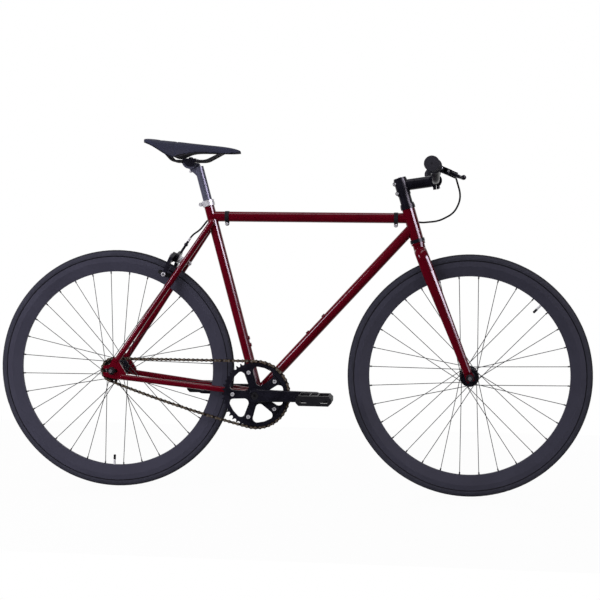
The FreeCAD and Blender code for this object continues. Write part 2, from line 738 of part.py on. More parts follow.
rim_inner = RIM_RADIUS - RIM_DEPTH
rim_bed = RIM_RADIUS - RIM_WELL_DEPTH
well_half = RIM_WIDTH / 2 - RIM_WALL
tube_circle = TYRE_RADIUS - TYRE_WIDTH / 2


def rim(valve_angle):
    """A deep V rim: brake tracks, a well for the tyre and a hollow below it, drilled for the spokes."""
    half, spine = RIM_WIDTH / 2, RIM_SPINE_WIDTH / 2
    track_end = RIM_RADIUS - BRAKE_TRACK
    outside = [
        (RIM_RADIUS, half), (track_end, half), (rim_inner, spine), (rim_inner, -spine), (track_end, -half),
        (RIM_RADIUS, -half), (RIM_RADIUS, -well_half), (rim_bed, -well_half), (rim_bed, well_half),
        (RIM_RADIUS, well_half),
    ]
    inside = [
        (rim_bed - RIM_WALL, half - RIM_WALL), (track_end, half - RIM_WALL),
        (rim_inner + RIM_WALL, spine - RIM_WALL / 2), (rim_inner + RIM_WALL, RIM_WALL / 2 - spine),
        (track_end, RIM_WALL - half), (rim_bed - RIM_WALL, RIM_WALL - half),
    ]
    solid = revolve_about_axle(outside, 0, 0).cut(revolve_about_axle(inside, 0, 0))
    drills = []
    for angle in rim_hole_angles(valve_angle):
        below, above = on_wheel(rim_inner - 2, angle), on_wheel(rim_inner + 6, angle)
        drills.append(rod(below, above, NIPPLE_RADIUS + SEAT_GAP))
    below, above = on_wheel(rim_inner - 2, valve_angle), on_wheel(rim_bed + 2, valve_angle)
    drills.append(rod(below, above, VALVE_RADIUS + SEAT_GAP))
    return solid.cut(Part.makeCompound(drills))


def tyre():
    """A tyre with a round section whose two beads reach down between the rim's edges."""
    outer, inner = TYRE_WIDTH / 2, TYRE_WIDTH / 2 - TYRE_WALL
    lip = RIM_RADIUS + SEAT_GAP
    lip_half = math.sqrt(outer**2 - (tube_circle - lip) ** 2)
    bead_out = well_half - SEAT_GAP
    bead_in = bead_out - BEAD_THICKNESS
    bead_low = rim_bed + SEAT_GAP
    neck = tube_circle - math.sqrt(inner**2 - bead_in**2)

    def at(radius, y):
        return V(radius, y, 0)

    crown_out, crown_in = at(tube_circle + outer, 0), at(tube_circle + inner, 0)
    edges = [
        Part.Arc(at(lip, -lip_half), at(tube_circle, -outer), crown_out).toShape(),
        Part.Arc(crown_out, at(tube_circle, outer), at(lip, lip_half)).toShape(),
    ]
    right = [
        at(lip, lip_half), at(lip, bead_out), at(bead_low, bead_out),
        at(bead_low, bead_in), at(neck, bead_in),
    ]
    left = [V(p.x, -p.y, 0) for p in reversed(right)]
    edges += [Part.LineSegment(a, b).toShape() for a, b in zip(right, right[1:])]
    edges += [
        Part.Arc(at(neck, bead_in), at(tube_circle, inner), crown_in).toShape(),
        Part.Arc(crown_in, at(tube_circle, -inner), at(neck, -bead_in)).toShape(),
    ]
    edges += [Part.LineSegment(a, b).toShape() for a, b in zip(left, left[1:])]
    return revolve_about_axle(Part.Face(Part.Wire(Part.__sortEdges__(edges))), 0, 0)


def inner_tube(valve_angle):
    """The air tube inside the tyre, with the valve that passes through the rim."""
    radius = TYRE_WIDTH / 2 - TYRE_WALL - SEAT_GAP
    skin = Part.makeTorus(tube_circle, radius, V(0, 0, 0), ACROSS)
    hollow = Part.makeTorus(tube_circle, radius - INNER_TUBE_WALL, V(0, 0, 0), ACROSS)
    foot = on_wheel(tube_circle - radius + INNER_TUBE_WALL / 2, valve_angle)
    valve = rod(foot, on_wheel(rim_inner - VALVE_LENGTH, valve_angle), VALVE_RADIUS)
    return skin.cut(hollow).fuse(valve)


def rim_hole_angles(valve_angle):
    pitch = 360 / SPOKE_COUNT
    return [valve_angle + (i + 0.5) * pitch for i in range(SPOKE_COUNT)]


def spoke(side, trailing):
    """One spoke to the rim hole at angle 0: a head, an elbow through the flange and a straight run."""
    lead = (1 if trailing else -1) * 360 * SPOKE_CROSSES / (SPOKE_COUNT / 2)
    hole = FLANGE_HOLE_CIRCLE / 2
    outside = FLANGE_THICKNESS / 2 + SPOKE_RADIUS + SPOKE_ELBOW_ROOM
    inside = FLANGE_THICKNESS / 2 + SPOKE_RADIUS + SEAT_GAP
    near = FLANGE_OFFSET + (outside if trailing else -inside)
    far = FLANGE_OFFSET + (-inside if trailing else inside)
    elbow = on_wheel(hole, lead, side * near)
    run_end = on_wheel(rim_inner + RIM_WALL + NIPPLE_HEAD_LENGTH - NIPPLE_LENGTH - SPOKE_END_GAP, 0)
    run_way = (run_end - elbow).normalize()
    run = prism(elbow - run_way * SPOKE_RADIUS, run_end, SPOKE_RADIUS, 6)
    stub_end = on_wheel(hole, lead, side * far)
    stub_way = (stub_end - elbow).normalize()
    stub = prism(elbow - stub_way * (SPOKE_RADIUS * 0.8), stub_end, SPOKE_RADIUS * 1.05, 6)
    head_in = FLANGE_OFFSET + (-1 if trailing else 1) * (FLANGE_THICKNESS / 2 + LOOSE_FIT)
    head = prism(on_wheel(hole, lead, side * head_in), stub_end, SPOKE_RADIUS * 2, 8)
    return run.fuse([stub, head]).removeSplitter()


def spokes(valve_angle):
    templates = {}
    for side in (-1, 1):
        for trailing in (False, True):
            templates[side, trailing] = spoke(side, trailing)
    solids = []
    for i, angle in enumerate(rim_hole_angles(valve_angle)):
        side = -1 if i % 2 else 1
        solids.append(turned(templates[side, i // 2 % 2 == 0], angle))
    return solids


def nipples(valve_angle):
    head_seat = rim_inner + RIM_WALL
    tip = head_seat + NIPPLE_HEAD_LENGTH - NIPPLE_LENGTH
    shank = prism(on_wheel(tip, 0), on_wheel(head_seat + LOOSE_FIT * 2, 0), NIPPLE_RADIUS, 8)
    head_from, head_to = on_wheel(head_seat + LOOSE_FIT, 0), on_wheel(head_seat + NIPPLE_HEAD_LENGTH, 0)
    nipple = shank.fuse(prism(head_from, head_to, NIPPLE_HEAD_RADIUS, 8))
    return [turned(nipple, angle) for angle in rim_hole_angles(valve_angle)]


def hub(valve_angle, spacing, carriers):
    """A hub shell turned in one piece: two drilled flanges, a waisted barrel and the bearing ends."""
    end = spacing / 2 - LOCKNUT_WIDTH - SEAT_GAP
    outer, inner = FLANGE_OFFSET + FLANGE_THICKNESS / 2, FLANGE_OFFSET - FLANGE_THICKNESS / 2
    bore = AXLE_RADIUS + RUNNING_FIT
    right = [
        (HUB_BARREL_RADIUS, 0), (HUB_BARREL_RADIUS, inner - HUB_FLARE), (HUB_BARREL_RADIUS + 3, inner),
        (FLANGE_RADIUS, inner), (FLANGE_RADIUS, outer),
    ]
    if carriers:
        shoulder = CHAIN_LINE + SPROCKET_THICKNESS / 2 - COG_BOSS_WIDTH - LOOSE_FIT
        seat = CHAIN_LINE + SPROCKET_THICKNESS / 2
        right += [
            (CARRIER_RADIUS + 2, outer), (CARRIER_RADIUS + 2, shoulder), (CARRIER_RADIUS, shoulder),
            (CARRIER_RADIUS, seat), (LOCKRING_THREAD_RADIUS, seat), (LOCKRING_THREAD_RADIUS, end),
        ]
    else:
        right += [(HUB_END_RADIUS + 4, outer), (HUB_END_RADIUS, outer + 4), (HUB_END_RADIUS, end)]
    left = [(radius, -y) for radius, y in reversed(right[1:])]
    solid = revolve_about_axle([(bore, -end)] + left + right + [(bore, end)], 0, 0)
    hole = FLANGE_HOLE_CIRCLE / 2
    pitch = 720 / SPOKE_COUNT
    drills = []
    for side in (-1, 1):
        first = valve_angle + (0.5 if side > 0 else 1.5) * 360 / SPOKE_COUNT
        for i in range(SPOKE_COUNT // 2):
            drill_in = on_wheel(hole, first + i * pitch, side * (inner - 4))
            drill_out = on_wheel(hole, first + i * pitch, side * (outer + 1))
            drills.append(rod(drill_in, drill_out, FLANGE_HOLE_RADIUS))
    return solid.cut(Part.makeCompound(drills))


def axle(spacing, end_thickness):
    """An axle with a locknut on each side of the hub; it reaches through the frame's ends."""
    half = spacing / 2
    length = half + end_thickness + AXLE_WASHER_WIDTH + AXLE_NUT_WIDTH + AXLE_END
    solid = disc(0, 0, AXLE_RADIUS, -length, length)
    for y in (-half, half - LOCKNUT_WIDTH):
        solid = solid.fuse(disc(0, 0, LOCKNUT_RADIUS, y, y + LOCKNUT_WIDTH))
    return solid.removeSplitter()


def axle_nut(spacing, end_thickness):
    """A hexagon nut on its washer, on the left side."""
    seat = spacing / 2 + end_thickness
    washer = disc(0, 0, AXLE_WASHER_RADIUS, seat, seat + AXLE_WASHER_WIDTH)
    corner = AXLE_NUT_ACROSS / math.sqrt(3)
    nut_from = seat + AXLE_WASHER_WIDTH
    nut = washer.fuse(hexagon(0, 0, corner, nut_from, nut_from + AXLE_NUT_WIDTH))
    bore = disc(0, 0, AXLE_RADIUS + RUNNING_FIT, seat, seat + AXLE_NUT_WIDTH * 2)
    return nut.cut(bore).removeSplitter()


def wheel(name, centre, valve_angle, spacing, end_thickness, carriers):
    def placed(*shapes):
        return [shape.translated(centre) for shape in shapes]

    save(name + "_tyre", *placed(tyre()))
    save(name + "_inner_tube", *placed(inner_tube(valve_angle)))
    save(name + "_rim", *placed(rim(valve_angle)))
    save(name + "_spokes", *placed(*spokes(valve_angle)))
    save(name + "_nipples", *placed(*nipples(valve_angle)))
    save(name + "_hub", *placed(hub(valve_angle, spacing, carriers)))
    save(name + "_axle", *placed(axle(spacing, end_thickness)))
    nut = axle_nut(spacing, end_thickness)
    save(name + "_axle_nuts", *placed(mirrored(nut), nut))


# Chain and sprockets, in the plane of the chain line, seen from the right
to_cog = (rear_axle - shell_centre).normalize()
upward = V(-to_cog.z, 0, to_cog.x) * -1
chain_lean = math.asin((chainring_radius - cog_radius) / centre_distance)
leave_angle = math.degrees(math.atan2(upward.z, upward.x)) + math.degrees(chain_lean)
ring_step = 360 / CHAINRING_TEETH
cog_step = 360 / COG_TEETH


def on_ring(degrees):
    return shell_centre + on_wheel(chainring_radius, degrees)


def on_cog(degrees):
    return rear_axle + on_wheel(cog_radius, degrees)


def bisect(low, high, is_low):
    for _ in range(60):
        middle = (low + high) / 2
        if is_low(middle):
            low = middle
        else:
            high = middle
    return low


def chain_points():
    """Roller centres once round: the top run, the cog, the slack lower run and the chainring."""
    start, end = on_ring(leave_angle), on_cog(leave_angle)
    way = (end - start).normalize()
    straight = int((end - start).Length / CHAIN_PITCH)
    points = [start + way * (CHAIN_PITCH * i) for i in range(straight + 1)]
    last = points[-1]

    def within_a_pitch(turn):
        return (on_cog(leave_angle + turn) - last).Length < CHAIN_PITCH

    first_cog = leave_angle + bisect(0, 90, within_a_pitch)
    lower_angle = leave_angle + 180 - 2 * math.degrees(chain_lean)
    cog_rollers = int((lower_angle - first_cog) / cog_step)
    points += [on_cog(first_cog + cog_step * i) for i in range(cog_rollers + 1)]
    ring_rollers = int((180 + 2 * math.degrees(chain_lean)) / ring_step)
    ring = [on_ring(leave_angle - ring_step * i) for i in range(ring_rollers, 0, -1)]
    spare = CHAIN_LINKS - len(points) - len(ring) + 1
    points += slack_run(points[-1], ring[0], spare)
    return points + ring, first_cog


def slack_run(start, end, links):
    """Rollers strictly between two ends, on a shallow arc that hangs below the straight line."""
    span = (end - start).Length

    def spans_more(turn):
        return math.sin(links * turn / 2) / math.sin(turn / 2) > span / CHAIN_PITCH

    turn = bisect(1e-6, math.pi / links, spans_more)
    radius = CHAIN_PITCH / (2 * math.sin(turn / 2))
    way = (end - start).normalize()
    down = V(way.z, 0, -way.x)
    centre = (start + end) * 0.5 - down * math.sqrt(radius**2 - span**2 / 4)
    sweep = math.asin(span / 2 / radius)
    rollers = []
    for i in range(1, links):
        angle = i * turn - sweep
        rollers.append(centre + way * (radius * math.sin(angle)) + down * (radius * math.cos(angle)))
    return rollers


def sprocket_face(teeth, first_angle):
    """A tooth outline: round seats for the rollers and straight flanks up to short tips."""
    pitch_radius = CHAIN_PITCH / (2 * math.sin(math.pi / teeth))
    seat_radius = ROLLER_RADIUS + ROLLER_PLAY
    step = 360 / teeth
    tip_radius = pitch_radius + ROLLER_RADIUS * TOOTH_RISE
    tip_half = step * TOOTH_TIP
    seat_turns = (ROLLER_SEAT_ANGLE, 0, -ROLLER_SEAT_ANGLE)
    edges, ends = [], []
    for i in range(teeth):
        angle = first_angle + i * step
        seat = on_wheel(pitch_radius, angle)
        corners = [seat + on_wheel(seat_radius, angle + 180 + turn) for turn in seat_turns]
        edges.append(Part.Arc(*corners).toShape())
        next_tip = angle + step / 2
        tips = [on_wheel(tip_radius, next_tip + turn) for turn in (-tip_half, tip_half)]
        ends.append((corners[0], corners[2], tips))
    for i, (_, last, tips) in enumerate(ends):
        following = ends[(i + 1) % teeth][0]
        edges.append(Part.LineSegment(last, tips[0]).toShape())
        edges.append(Part.LineSegment(tips[0], tips[1]).toShape())
        edges.append(Part.LineSegment(tips[1], following).toShape())
    return Part.Face(Part.Wire(Part.__sortEdges__(edges)))


def link_plate(radius, y_from, y_to):
    """A chain plate along +x, from one pin to the next, with its sides drawn in between the pins."""
    reach, waist = radius * 0.75, radius * 0.64
    drop = math.sqrt(radius**2 - reach**2)
    edges = []
    for end, way in ((CHAIN_PITCH, 1), (0, -1)):
        a = V(end - way * drop, y_from, -way * reach)
        b = V(end + way * radius, y_from, 0)
        c = V(end - way * drop, y_from, way * reach)
        edges.append(Part.Arc(a, b, c).toShape())
    for way in (1, -1):
        a = V(CHAIN_PITCH - drop, y_from, way * reach)
        b = V(CHAIN_PITCH / 2, y_from, way * waist)
        c = V(drop, y_from, way * reach)
        edges.append(Part.Arc(a, b, c).toShape())
    face = Part.Face(Part.Wire(Part.__sortEdges__(edges)))
    return face.extrude(V(0, y_to - y_from, 0))


def chain_links():
    """Inner links with bushed rollers and outer links with pins, laid in turn round the sprockets."""
    inner_face = CHAIN_INNER_WIDTH / 2
    inner_back = inner_face + CHAIN_PLATE
    outer_face = inner_back + LOOSE_FIT
    outer_back = outer_face + CHAIN_PLATE
    pin_end = outer_back + PIN_END
    ends = (0, CHAIN_PITCH)
    inner = link_plate(INNER_PLATE_RADIUS, inner_face, inner_back)
    inner = inner.fuse([mirrored(inner)] + [disc(x, 0, ROLLER_RADIUS, -inner_face, inner_face) for x in ends])
    inner = inner.cut([disc(x, 0, PIN_RADIUS + RUNNING_FIT * 2, -inner_back, inner_back) for x in ends])
    outer = link_plate(OUTER_PLATE_RADIUS, outer_face, outer_back)
    outer = outer.fuse([mirrored(outer)] + [disc(x, 0, PIN_RADIUS, -pin_end, pin_end) for x in ends])
    points, _ = chain_points()
    links = []
    for i, here in enumerate(points):
        there = points[(i + 1) % len(points)]
        heading = math.degrees(math.atan2(there.z - here.z, there.x - here.x))
        link = turned(inner if i % 2 else outer, heading)
        links.append(link.translated(V(here.x, -CHAIN_LINE, here.z)))
    save("chain", *links)


def on_bolt_circle(i):
    return shell_centre + on_wheel(BOLT_CIRCLE_RADIUS, SPIDER_FIRST_ANGLE + 360 / SPIDER_ARMS * i)


def spider_windows(y_from, y_to):
    """The rounded openings between the arms, which go through the chainring and the spider alike."""
    windows = []
    for i in range(SPIDER_ARMS):
        angle = SPIDER_FIRST_ANGLE + 360 / SPIDER_ARMS * (i + 0.5)
        outer = [on_wheel(WINDOW_OUTER, angle + turn) for turn in (-WINDOW_SPREAD, 0, WINDOW_SPREAD)]
        corners = [shell_centre + corner for corner in [on_wheel(WINDOW_INNER, angle)] + outer]
        window = plate([(corner.x, corner.z) for corner in corners], 0, y_to - y_from)
        for start, end in zip(corners, corners[1:] + corners[:1]):
            window = window.fuse(tapered_link(start, end, WINDOW_ROUND, WINDOW_ROUND, y_to - y_from))
        windows.append(window.removeSplitter().translated(V(0, y_from, 0)))
    return windows


def sprockets():
    outer = -CHAIN_LINE - SPROCKET_THICKNESS / 2
    inner = -CHAIN_LINE + SPROCKET_THICKNESS / 2
    x, z = shell_centre.x, shell_centre.z
    ring = sprocket_face(CHAINRING_TEETH, leave_angle).extrude(V(0, SPROCKET_THICKNESS, 0))
    ring = ring.translated(shell_centre + V(0, outer, 0))
    ring = ring.cut(disc(x, z, BOLT_CIRCLE_RADIUS - CHAINRING_TAB, outer, inner))
    ring = ring.cut(spider_windows(outer, inner))
    for i in range(SPIDER_ARMS):
        hole = on_bolt_circle(i)
        ring = ring.cut(disc(hole.x, hole.z, CHAINRING_BOLT_RADIUS + RUNNING_FIT, outer, inner))
    save("chainring", ring.removeSplitter())

    x, z = rear_axle.x, rear_axle.z
    _, first_cog = chain_points()
    boss_in = outer + COG_BOSS_WIDTH
    cog = sprocket_face(COG_TEETH, first_cog).extrude(V(0, SPROCKET_THICKNESS, 0))
    cog = cog.translated(rear_axle + V(0, outer, 0))
    cog = cog.fuse(disc(x, z, COG_BOSS_RADIUS, outer, boss_in))
    cog = cog.cut(disc(x, z, CARRIER_RADIUS + RUNNING_FIT, outer, boss_in))
    save("rear_cog", cog.removeSplitter())

    lock_end = outer - LOCKRING_WIDTH
    lockring = disc(x, z, LOCKRING_RADIUS, lock_end, outer)
    lockring = lockring.cut(disc(x, z, LOCKRING_THREAD_RADIUS + RUNNING_FIT, lock_end, outer))
    for i in range(LOCKRING_NOTCHES):
        notch = rear_axle + on_wheel(LOCKRING_RADIUS, 90 + 360 / LOCKRING_NOTCHES * i)
        lockring = lockring.cut(disc(notch.x, notch.z, LOCKRING_NOTCH_RADIUS, lock_end, outer))
    save("cog_lockring", lockring)


# Cranks and pedals; each is drawn on the right side, pointing forward
crank_inner_face = CRANK_OUTER_FACE - CRANK_THICKNESS
crank_square = SPINDLE_SQUARE / 2 + RUNNING_FIT
square_end = SPINDLE_END + SPINDLE_ROOM
spider_in = CHAIN_LINE + SPROCKET_THICKNESS / 2
spider_out = spider_in + SPIDER_THICKNESS
pedal_eye = V(shell_centre.x + CRANK_LENGTH, 0, shell_centre.z)


def crank_arm():
    """A tapered arm with a thick boss on the spindle's square and a threaded eye for the pedal."""
    x, z = shell_centre.x, shell_centre.z
    outer = -CRANK_OUTER_FACE
    arm = tapered_link(shell_centre, pedal_eye, CRANK_HUB_RADIUS - 2, CRANK_EYE_RADIUS, CRANK_THICKNESS)
    arm = arm.translated(V(0, outer, 0))
    arm = arm.makeFillet(CRANK_ROUND, [e for e in arm.Edges if abs(e.BoundBox.YMax - outer) < 0.01])
    boss_in = SHELL_WIDTH / 2 + CARTRIDGE_FLANGE + CRANK_BOSS_GAP
    arm = arm.fuse(disc(x, z, CRANK_HUB_RADIUS, outer + 2, -boss_in))
    arm = arm.cut(spindle_square(crank_square, -square_end, -boss_in))
    arm = arm.cut(disc(x, z, CRANK_BOLT_HEAD_RADIUS + SEAT_GAP, outer, outer + CRANK_RECESS))
    arm = arm.cut(disc(x, z, CRANK_BOLT_RADIUS + RUNNING_FIT, outer, -boss_in))
    thread = disc(pedal_eye.x, pedal_eye.z, PEDAL_THREAD_RADIUS + RUNNING_FIT, outer, -crank_inner_face)
    return arm.cut(thread)


def chainring_bolt(x, z):
    """A bolt and its sleeve nut through the spider and the chainring."""
    ring_in = CHAIN_LINE - SPROCKET_THICKNESS / 2
    cap_end = -spider_out - CHAINRING_BOLT_CAP
    bolt = disc(x, z, CHAINRING_BOLT_RADIUS, -spider_out, -ring_in)
    bolt = bolt.fuse(disc(x, z, CHAINRING_BOLT_HEAD, cap_end, -spider_out))
    bolt = bolt.fuse(disc(x, z, CHAINRING_BOLT_HEAD, -ring_in, -ring_in + CHAINRING_NUT_CAP))
    bolt = bolt.cut(disc(x, z, CHAINRING_KEY_RADIUS, cap_end, cap_end + 2 * CHAINRING_BOLT_CAP))
    return bolt.removeSplitter()


def crank_bolt():
    """The right bolt, with a hexagon socket in its head."""
    x, z = shell_centre.x, shell_centre.z
    seat = -CRANK_OUTER_FACE + CRANK_RECESS
    head = seat - CRANK_BOLT_HEAD_LENGTH
    bolt = disc(x, z, CRANK_BOLT_HEAD_RADIUS, head, seat)
    bolt = bolt.fuse(disc(x, z, CRANK_BOLT_RADIUS, seat, seat + CRANK_BOLT_LENGTH))
    return bolt.cut(hexagon(x, z, CRANK_KEY_RADIUS, head, seat - 1)).removeSplitter()


def cranks():
    x, z = shell_centre.x, shell_centre.z
    save("crank_arm_left", turned(mirrored(crank_arm()), 180, x, z))

    spider = disc(x, z, BOLT_CIRCLE_RADIUS + SPIDER_TIP, -spider_out, -spider_in)
    right = crank_arm().fuse(spider.cut(spider_windows(-spider_out, -spider_in)))
    right = right.cut(spindle_square(crank_square, -square_end, 0))
    bolts = []
    for i in range(SPIDER_ARMS):
        tip = on_bolt_circle(i)
        right = right.cut(disc(tip.x, tip.z, CHAINRING_BOLT_RADIUS + RUNNING_FIT, -spider_out, -spider_in))
        bolts.append(chainring_bolt(tip.x, tip.z))
    save("crank_arm_right", right.removeSplitter())
    save("chainring_bolts", *bolts)
    bolt = crank_bolt()
    save("crank_bolts", bolt, mirrored(bolt))


collar_end = CRANK_OUTER_FACE + PEDAL_COLLAR_WIDTH
pedal_inner = collar_end + 1
pedal_outer = pedal_inner + PEDAL_WIDTH
pedal_tip = pedal_outer - PEDAL_END_WALL


def pedal_spindle():
    x, z = pedal_eye.x, pedal_eye.z
    spindle = disc(x, z, PEDAL_THREAD_RADIUS, -CRANK_OUTER_FACE, -crank_inner_face)
    spindle = spindle.fuse(disc(x, z, PEDAL_COLLAR_RADIUS, -collar_end, -CRANK_OUTER_FACE))
    return spindle.fuse(disc(x, z, PEDAL_SPINDLE_RADIUS, -pedal_tip, -CRANK_OUTER_FACE)).removeSplitter()


def pedal_body():
    """A moulded platform: two treads and two end walls round the barrel, with windows in the end walls."""
    x, z = pedal_eye.x, pedal_eye.z
    half_length, half_height = PEDAL_LENGTH / 2, PEDAL_THICKNESS / 2
    outline = []
    for sx, sz in ((1, 1), (-1, 1), (-1, -1), (1, -1)):
        near = (x + sx * half_length, z + sz * (half_height - PEDAL_CORNER))
        far = (x + sx * (half_length - PEDAL_CORNER), z + sz * half_height)
        outline += [near, far] if sx == sz else [far, near]
    body = plate(outline, -pedal_outer, -pedal_inner)
    wall_out, wall_in = -pedal_outer + PEDAL_WALL, -pedal_inner - PEDAL_WALL
    pocket_in, pocket_out = PEDAL_BARREL_RADIUS + 2, half_length - PEDAL_WALL
    low, high = z - PEDAL_WINDOW_LOW, z + PEDAL_WINDOW_HIGH
    for sx in (-1, 1):
        near, far = x + sx * pocket_in, x + sx * pocket_out
        body = body.cut(straight_block(near, far, z - half_height, z + half_height, wall_out, wall_in))
        window = [(near + sx * 3, low), (far - sx * 2, low), (far - sx * 2, high)]
        body = body.cut(plate(window, -pedal_outer, -pedal_inner))
    groove_half = pocket_in - PEDAL_GROOVE
    for sz in (-1, 1):
        floor, top = z + sz * (half_height - PEDAL_GROOVE), z + sz * half_height
        body = body.cut(straight_block(x - groove_half, x + groove_half, floor, top, wall_out, wall_in))
    bore = disc(x, z, PEDAL_SPINDLE_RADIUS + RUNNING_FIT, -pedal_tip - SEAT_GAP, -pedal_inner)
    return body.cut(bore)


def pedals():
    x, z = shell_centre.x, shell_centre.z
    spindle, body = pedal_spindle(), pedal_body()
    save("pedal_spindles", spindle, turned(mirrored(spindle), 180, x, z))
    save("pedal_right", body)
    save("pedal_left", turned(mirrored(body), 180, x, z))


# Steering: everything that turns with the fork
crown = on_steering(CROWN_AT)
blade_way = (crown - front_axle).normalize()
blade_front = V(blade_way.z, 0, -blade_way.x)
crown_rise = (crown - front_axle).Length
race_top = HEAD_TUBE_START - HEADSET_CUP_HEIGHT - SEAT_GAP
cover_base = head_tube_end + HEADSET_CUP_HEIGHT + SEAT_GAP
stem_base = cover_base + HEADSET_COVER_HEIGHT + SPACER_COUNT * SPACER_HEIGHT
stem_top = stem_base + STEM_CLAMP_HEIGHT
stem_way = V(math.cos(math.radians(STEM_ANGLE)), 0, math.sin(math.radians(STEM_ANGLE)))
stem_root = on_steering(stem_base + STEM_AXIS_RISE)
bar_centre = stem_root + stem_way * STEM_LENGTH


def on_blade(rise, y, forward=0.0):
    return front_axle + blade_way * rise + blade_front * forward + V(0, y, 0)


def blade_section(rise, y, depth, width):
    """An ellipse across a fork blade, longer from front to back."""
    long, short = depth / 2, width / 2
    centre = on_blade(rise, y)
    curve = Part.Ellipse(centre + blade_front * long, centre + V(0, short, 0), centre)
    return Part.Wire(curve.toShape())


def blade(wall):
    """The left blade: a taper up to the shoulder, then a bend inward to the steering axis."""
    tip_y = (FRONT_SPACING + FORK_END_THICKNESS) / 2
    top_depth, top_width = BLADE_TOP_DEPTH - 2 * wall, BLADE_TOP_WIDTH - 2 * wall
    tip_depth, tip_width = BLADE_TIP_DEPTH - 2 * wall, BLADE_TIP_WIDTH - 2 * wall
    shoulder = blade_section(BLADE_SHOULDER, BLADE_SHOULDER_Y, top_depth, top_width)
    tip = blade_section(BLADE_TIP_GAP + wall, tip_y, tip_depth, tip_width)
    taper = Part.makeLoft([tip, shoulder], True, True)
    corner = on_blade(crown_rise, BLADE_SHOULDER_Y)
    path = [on_blade(BLADE_SHOULDER, BLADE_SHOULDER_Y), corner, on_blade(crown_rise, 0)]
    bend = rounded_path(path, [BLADE_BEND_RADIUS])
    return taper.fuse(bend.makePipeShell([shoulder], True, False))


def fork_end_plate(outline):
    """A plate beside the front hub's left end, from (forward, rise) points about the axle."""
    corners = [on_blade(rise, FRONT_SPACING / 2, forward) for forward, rise in outline]
    return Part.Face(Part.makePolygon(corners + corners[:1])).extrude(V(0, FORK_END_THICKNESS, 0))


def fork_end():
    """The left fork end: a plate under the blade's tip, slotted from below for the axle."""
    top = BLADE_TIP_GAP + 16
    body = fork_end_plate([(-9, top), (-12, 2), (-10, -11), (10, -11), (12, 2), (9, top)])
    half = AXLE_RADIUS + RUNNING_FIT * 2
    slot = fork_end_plate([(-half, 0), (-half, -12), (half, -12), (half, 0)])
    inner = FRONT_SPACING / 2
    seat = disc(front_axle.x, front_axle.z, half, inner, inner + FORK_END_THICKNESS)
    return body.cut(slot).cut(seat)


def fork():
    """Steerer, crown race, two bent blades and the fork ends, welded into one piece."""
    shell = blade(0).fuse(fork_end())
    hollow = blade(BLADE_WALL)
    long, high = 400, 200
    kept_solid = BLADE_SHOULDER_Y - BLADE_BEND_RADIUS + 4
    middle = Part.makeBox(long, kept_solid, high, crown - V(long / 2, 0, high / 2))
    side = shell.cut(hollow.cut(middle))
    steerer = rod(on_steering(CROWN_AT), on_steering(stem_top - TOP_CAP_GAP), STEERER_RADIUS)
    race_low = on_steering(race_top - CROWN_RACE_HEIGHT)
    race = rod(race_low, on_steering(race_top), CROWN_RACE_RADIUS)
    neck = rod(on_steering(CROWN_AT), race_low, STEERER_RADIUS + CROWN_NECK_WALL)
    whole = side.fuse([mirrored(side), steerer, race, neck])
    bore = rod(race_low, on_steering(stem_top), STEERER_BORE)
    save("fork", whole.cut(bore).removeSplitter())


def headset_spacers():
    bore = STEERER_RADIUS + RUNNING_FIT
    low = cover_base
    sizes = [(HEADSET_COVER_HEIGHT, HEADSET_COVER_RADIUS)] + [(SPACER_HEIGHT, SPACER_RADIUS)] * SPACER_COUNT
    rings = []
    for height, radius in sizes:
        rings.append(hollow_rod(on_steering(low), on_steering(low + height), radius, bore))
        low += height
    save("headset_spacers", *rings)


def stem_side(forward, back):
    """A block across the stem, from one distance to another in front of the bar's centre."""
    block = Part.makeBox(forward - back, BAR_CLAMP_WIDTH * 2, BAR_CLAMP_RADIUS * 4)
    block.translate(V(back, -BAR_CLAMP_WIDTH, -BAR_CLAMP_RADIUS * 2))
    block.rotate(V(0, 0, 0), ACROSS, -STEM_ANGLE)
    return block.translated(bar_centre)


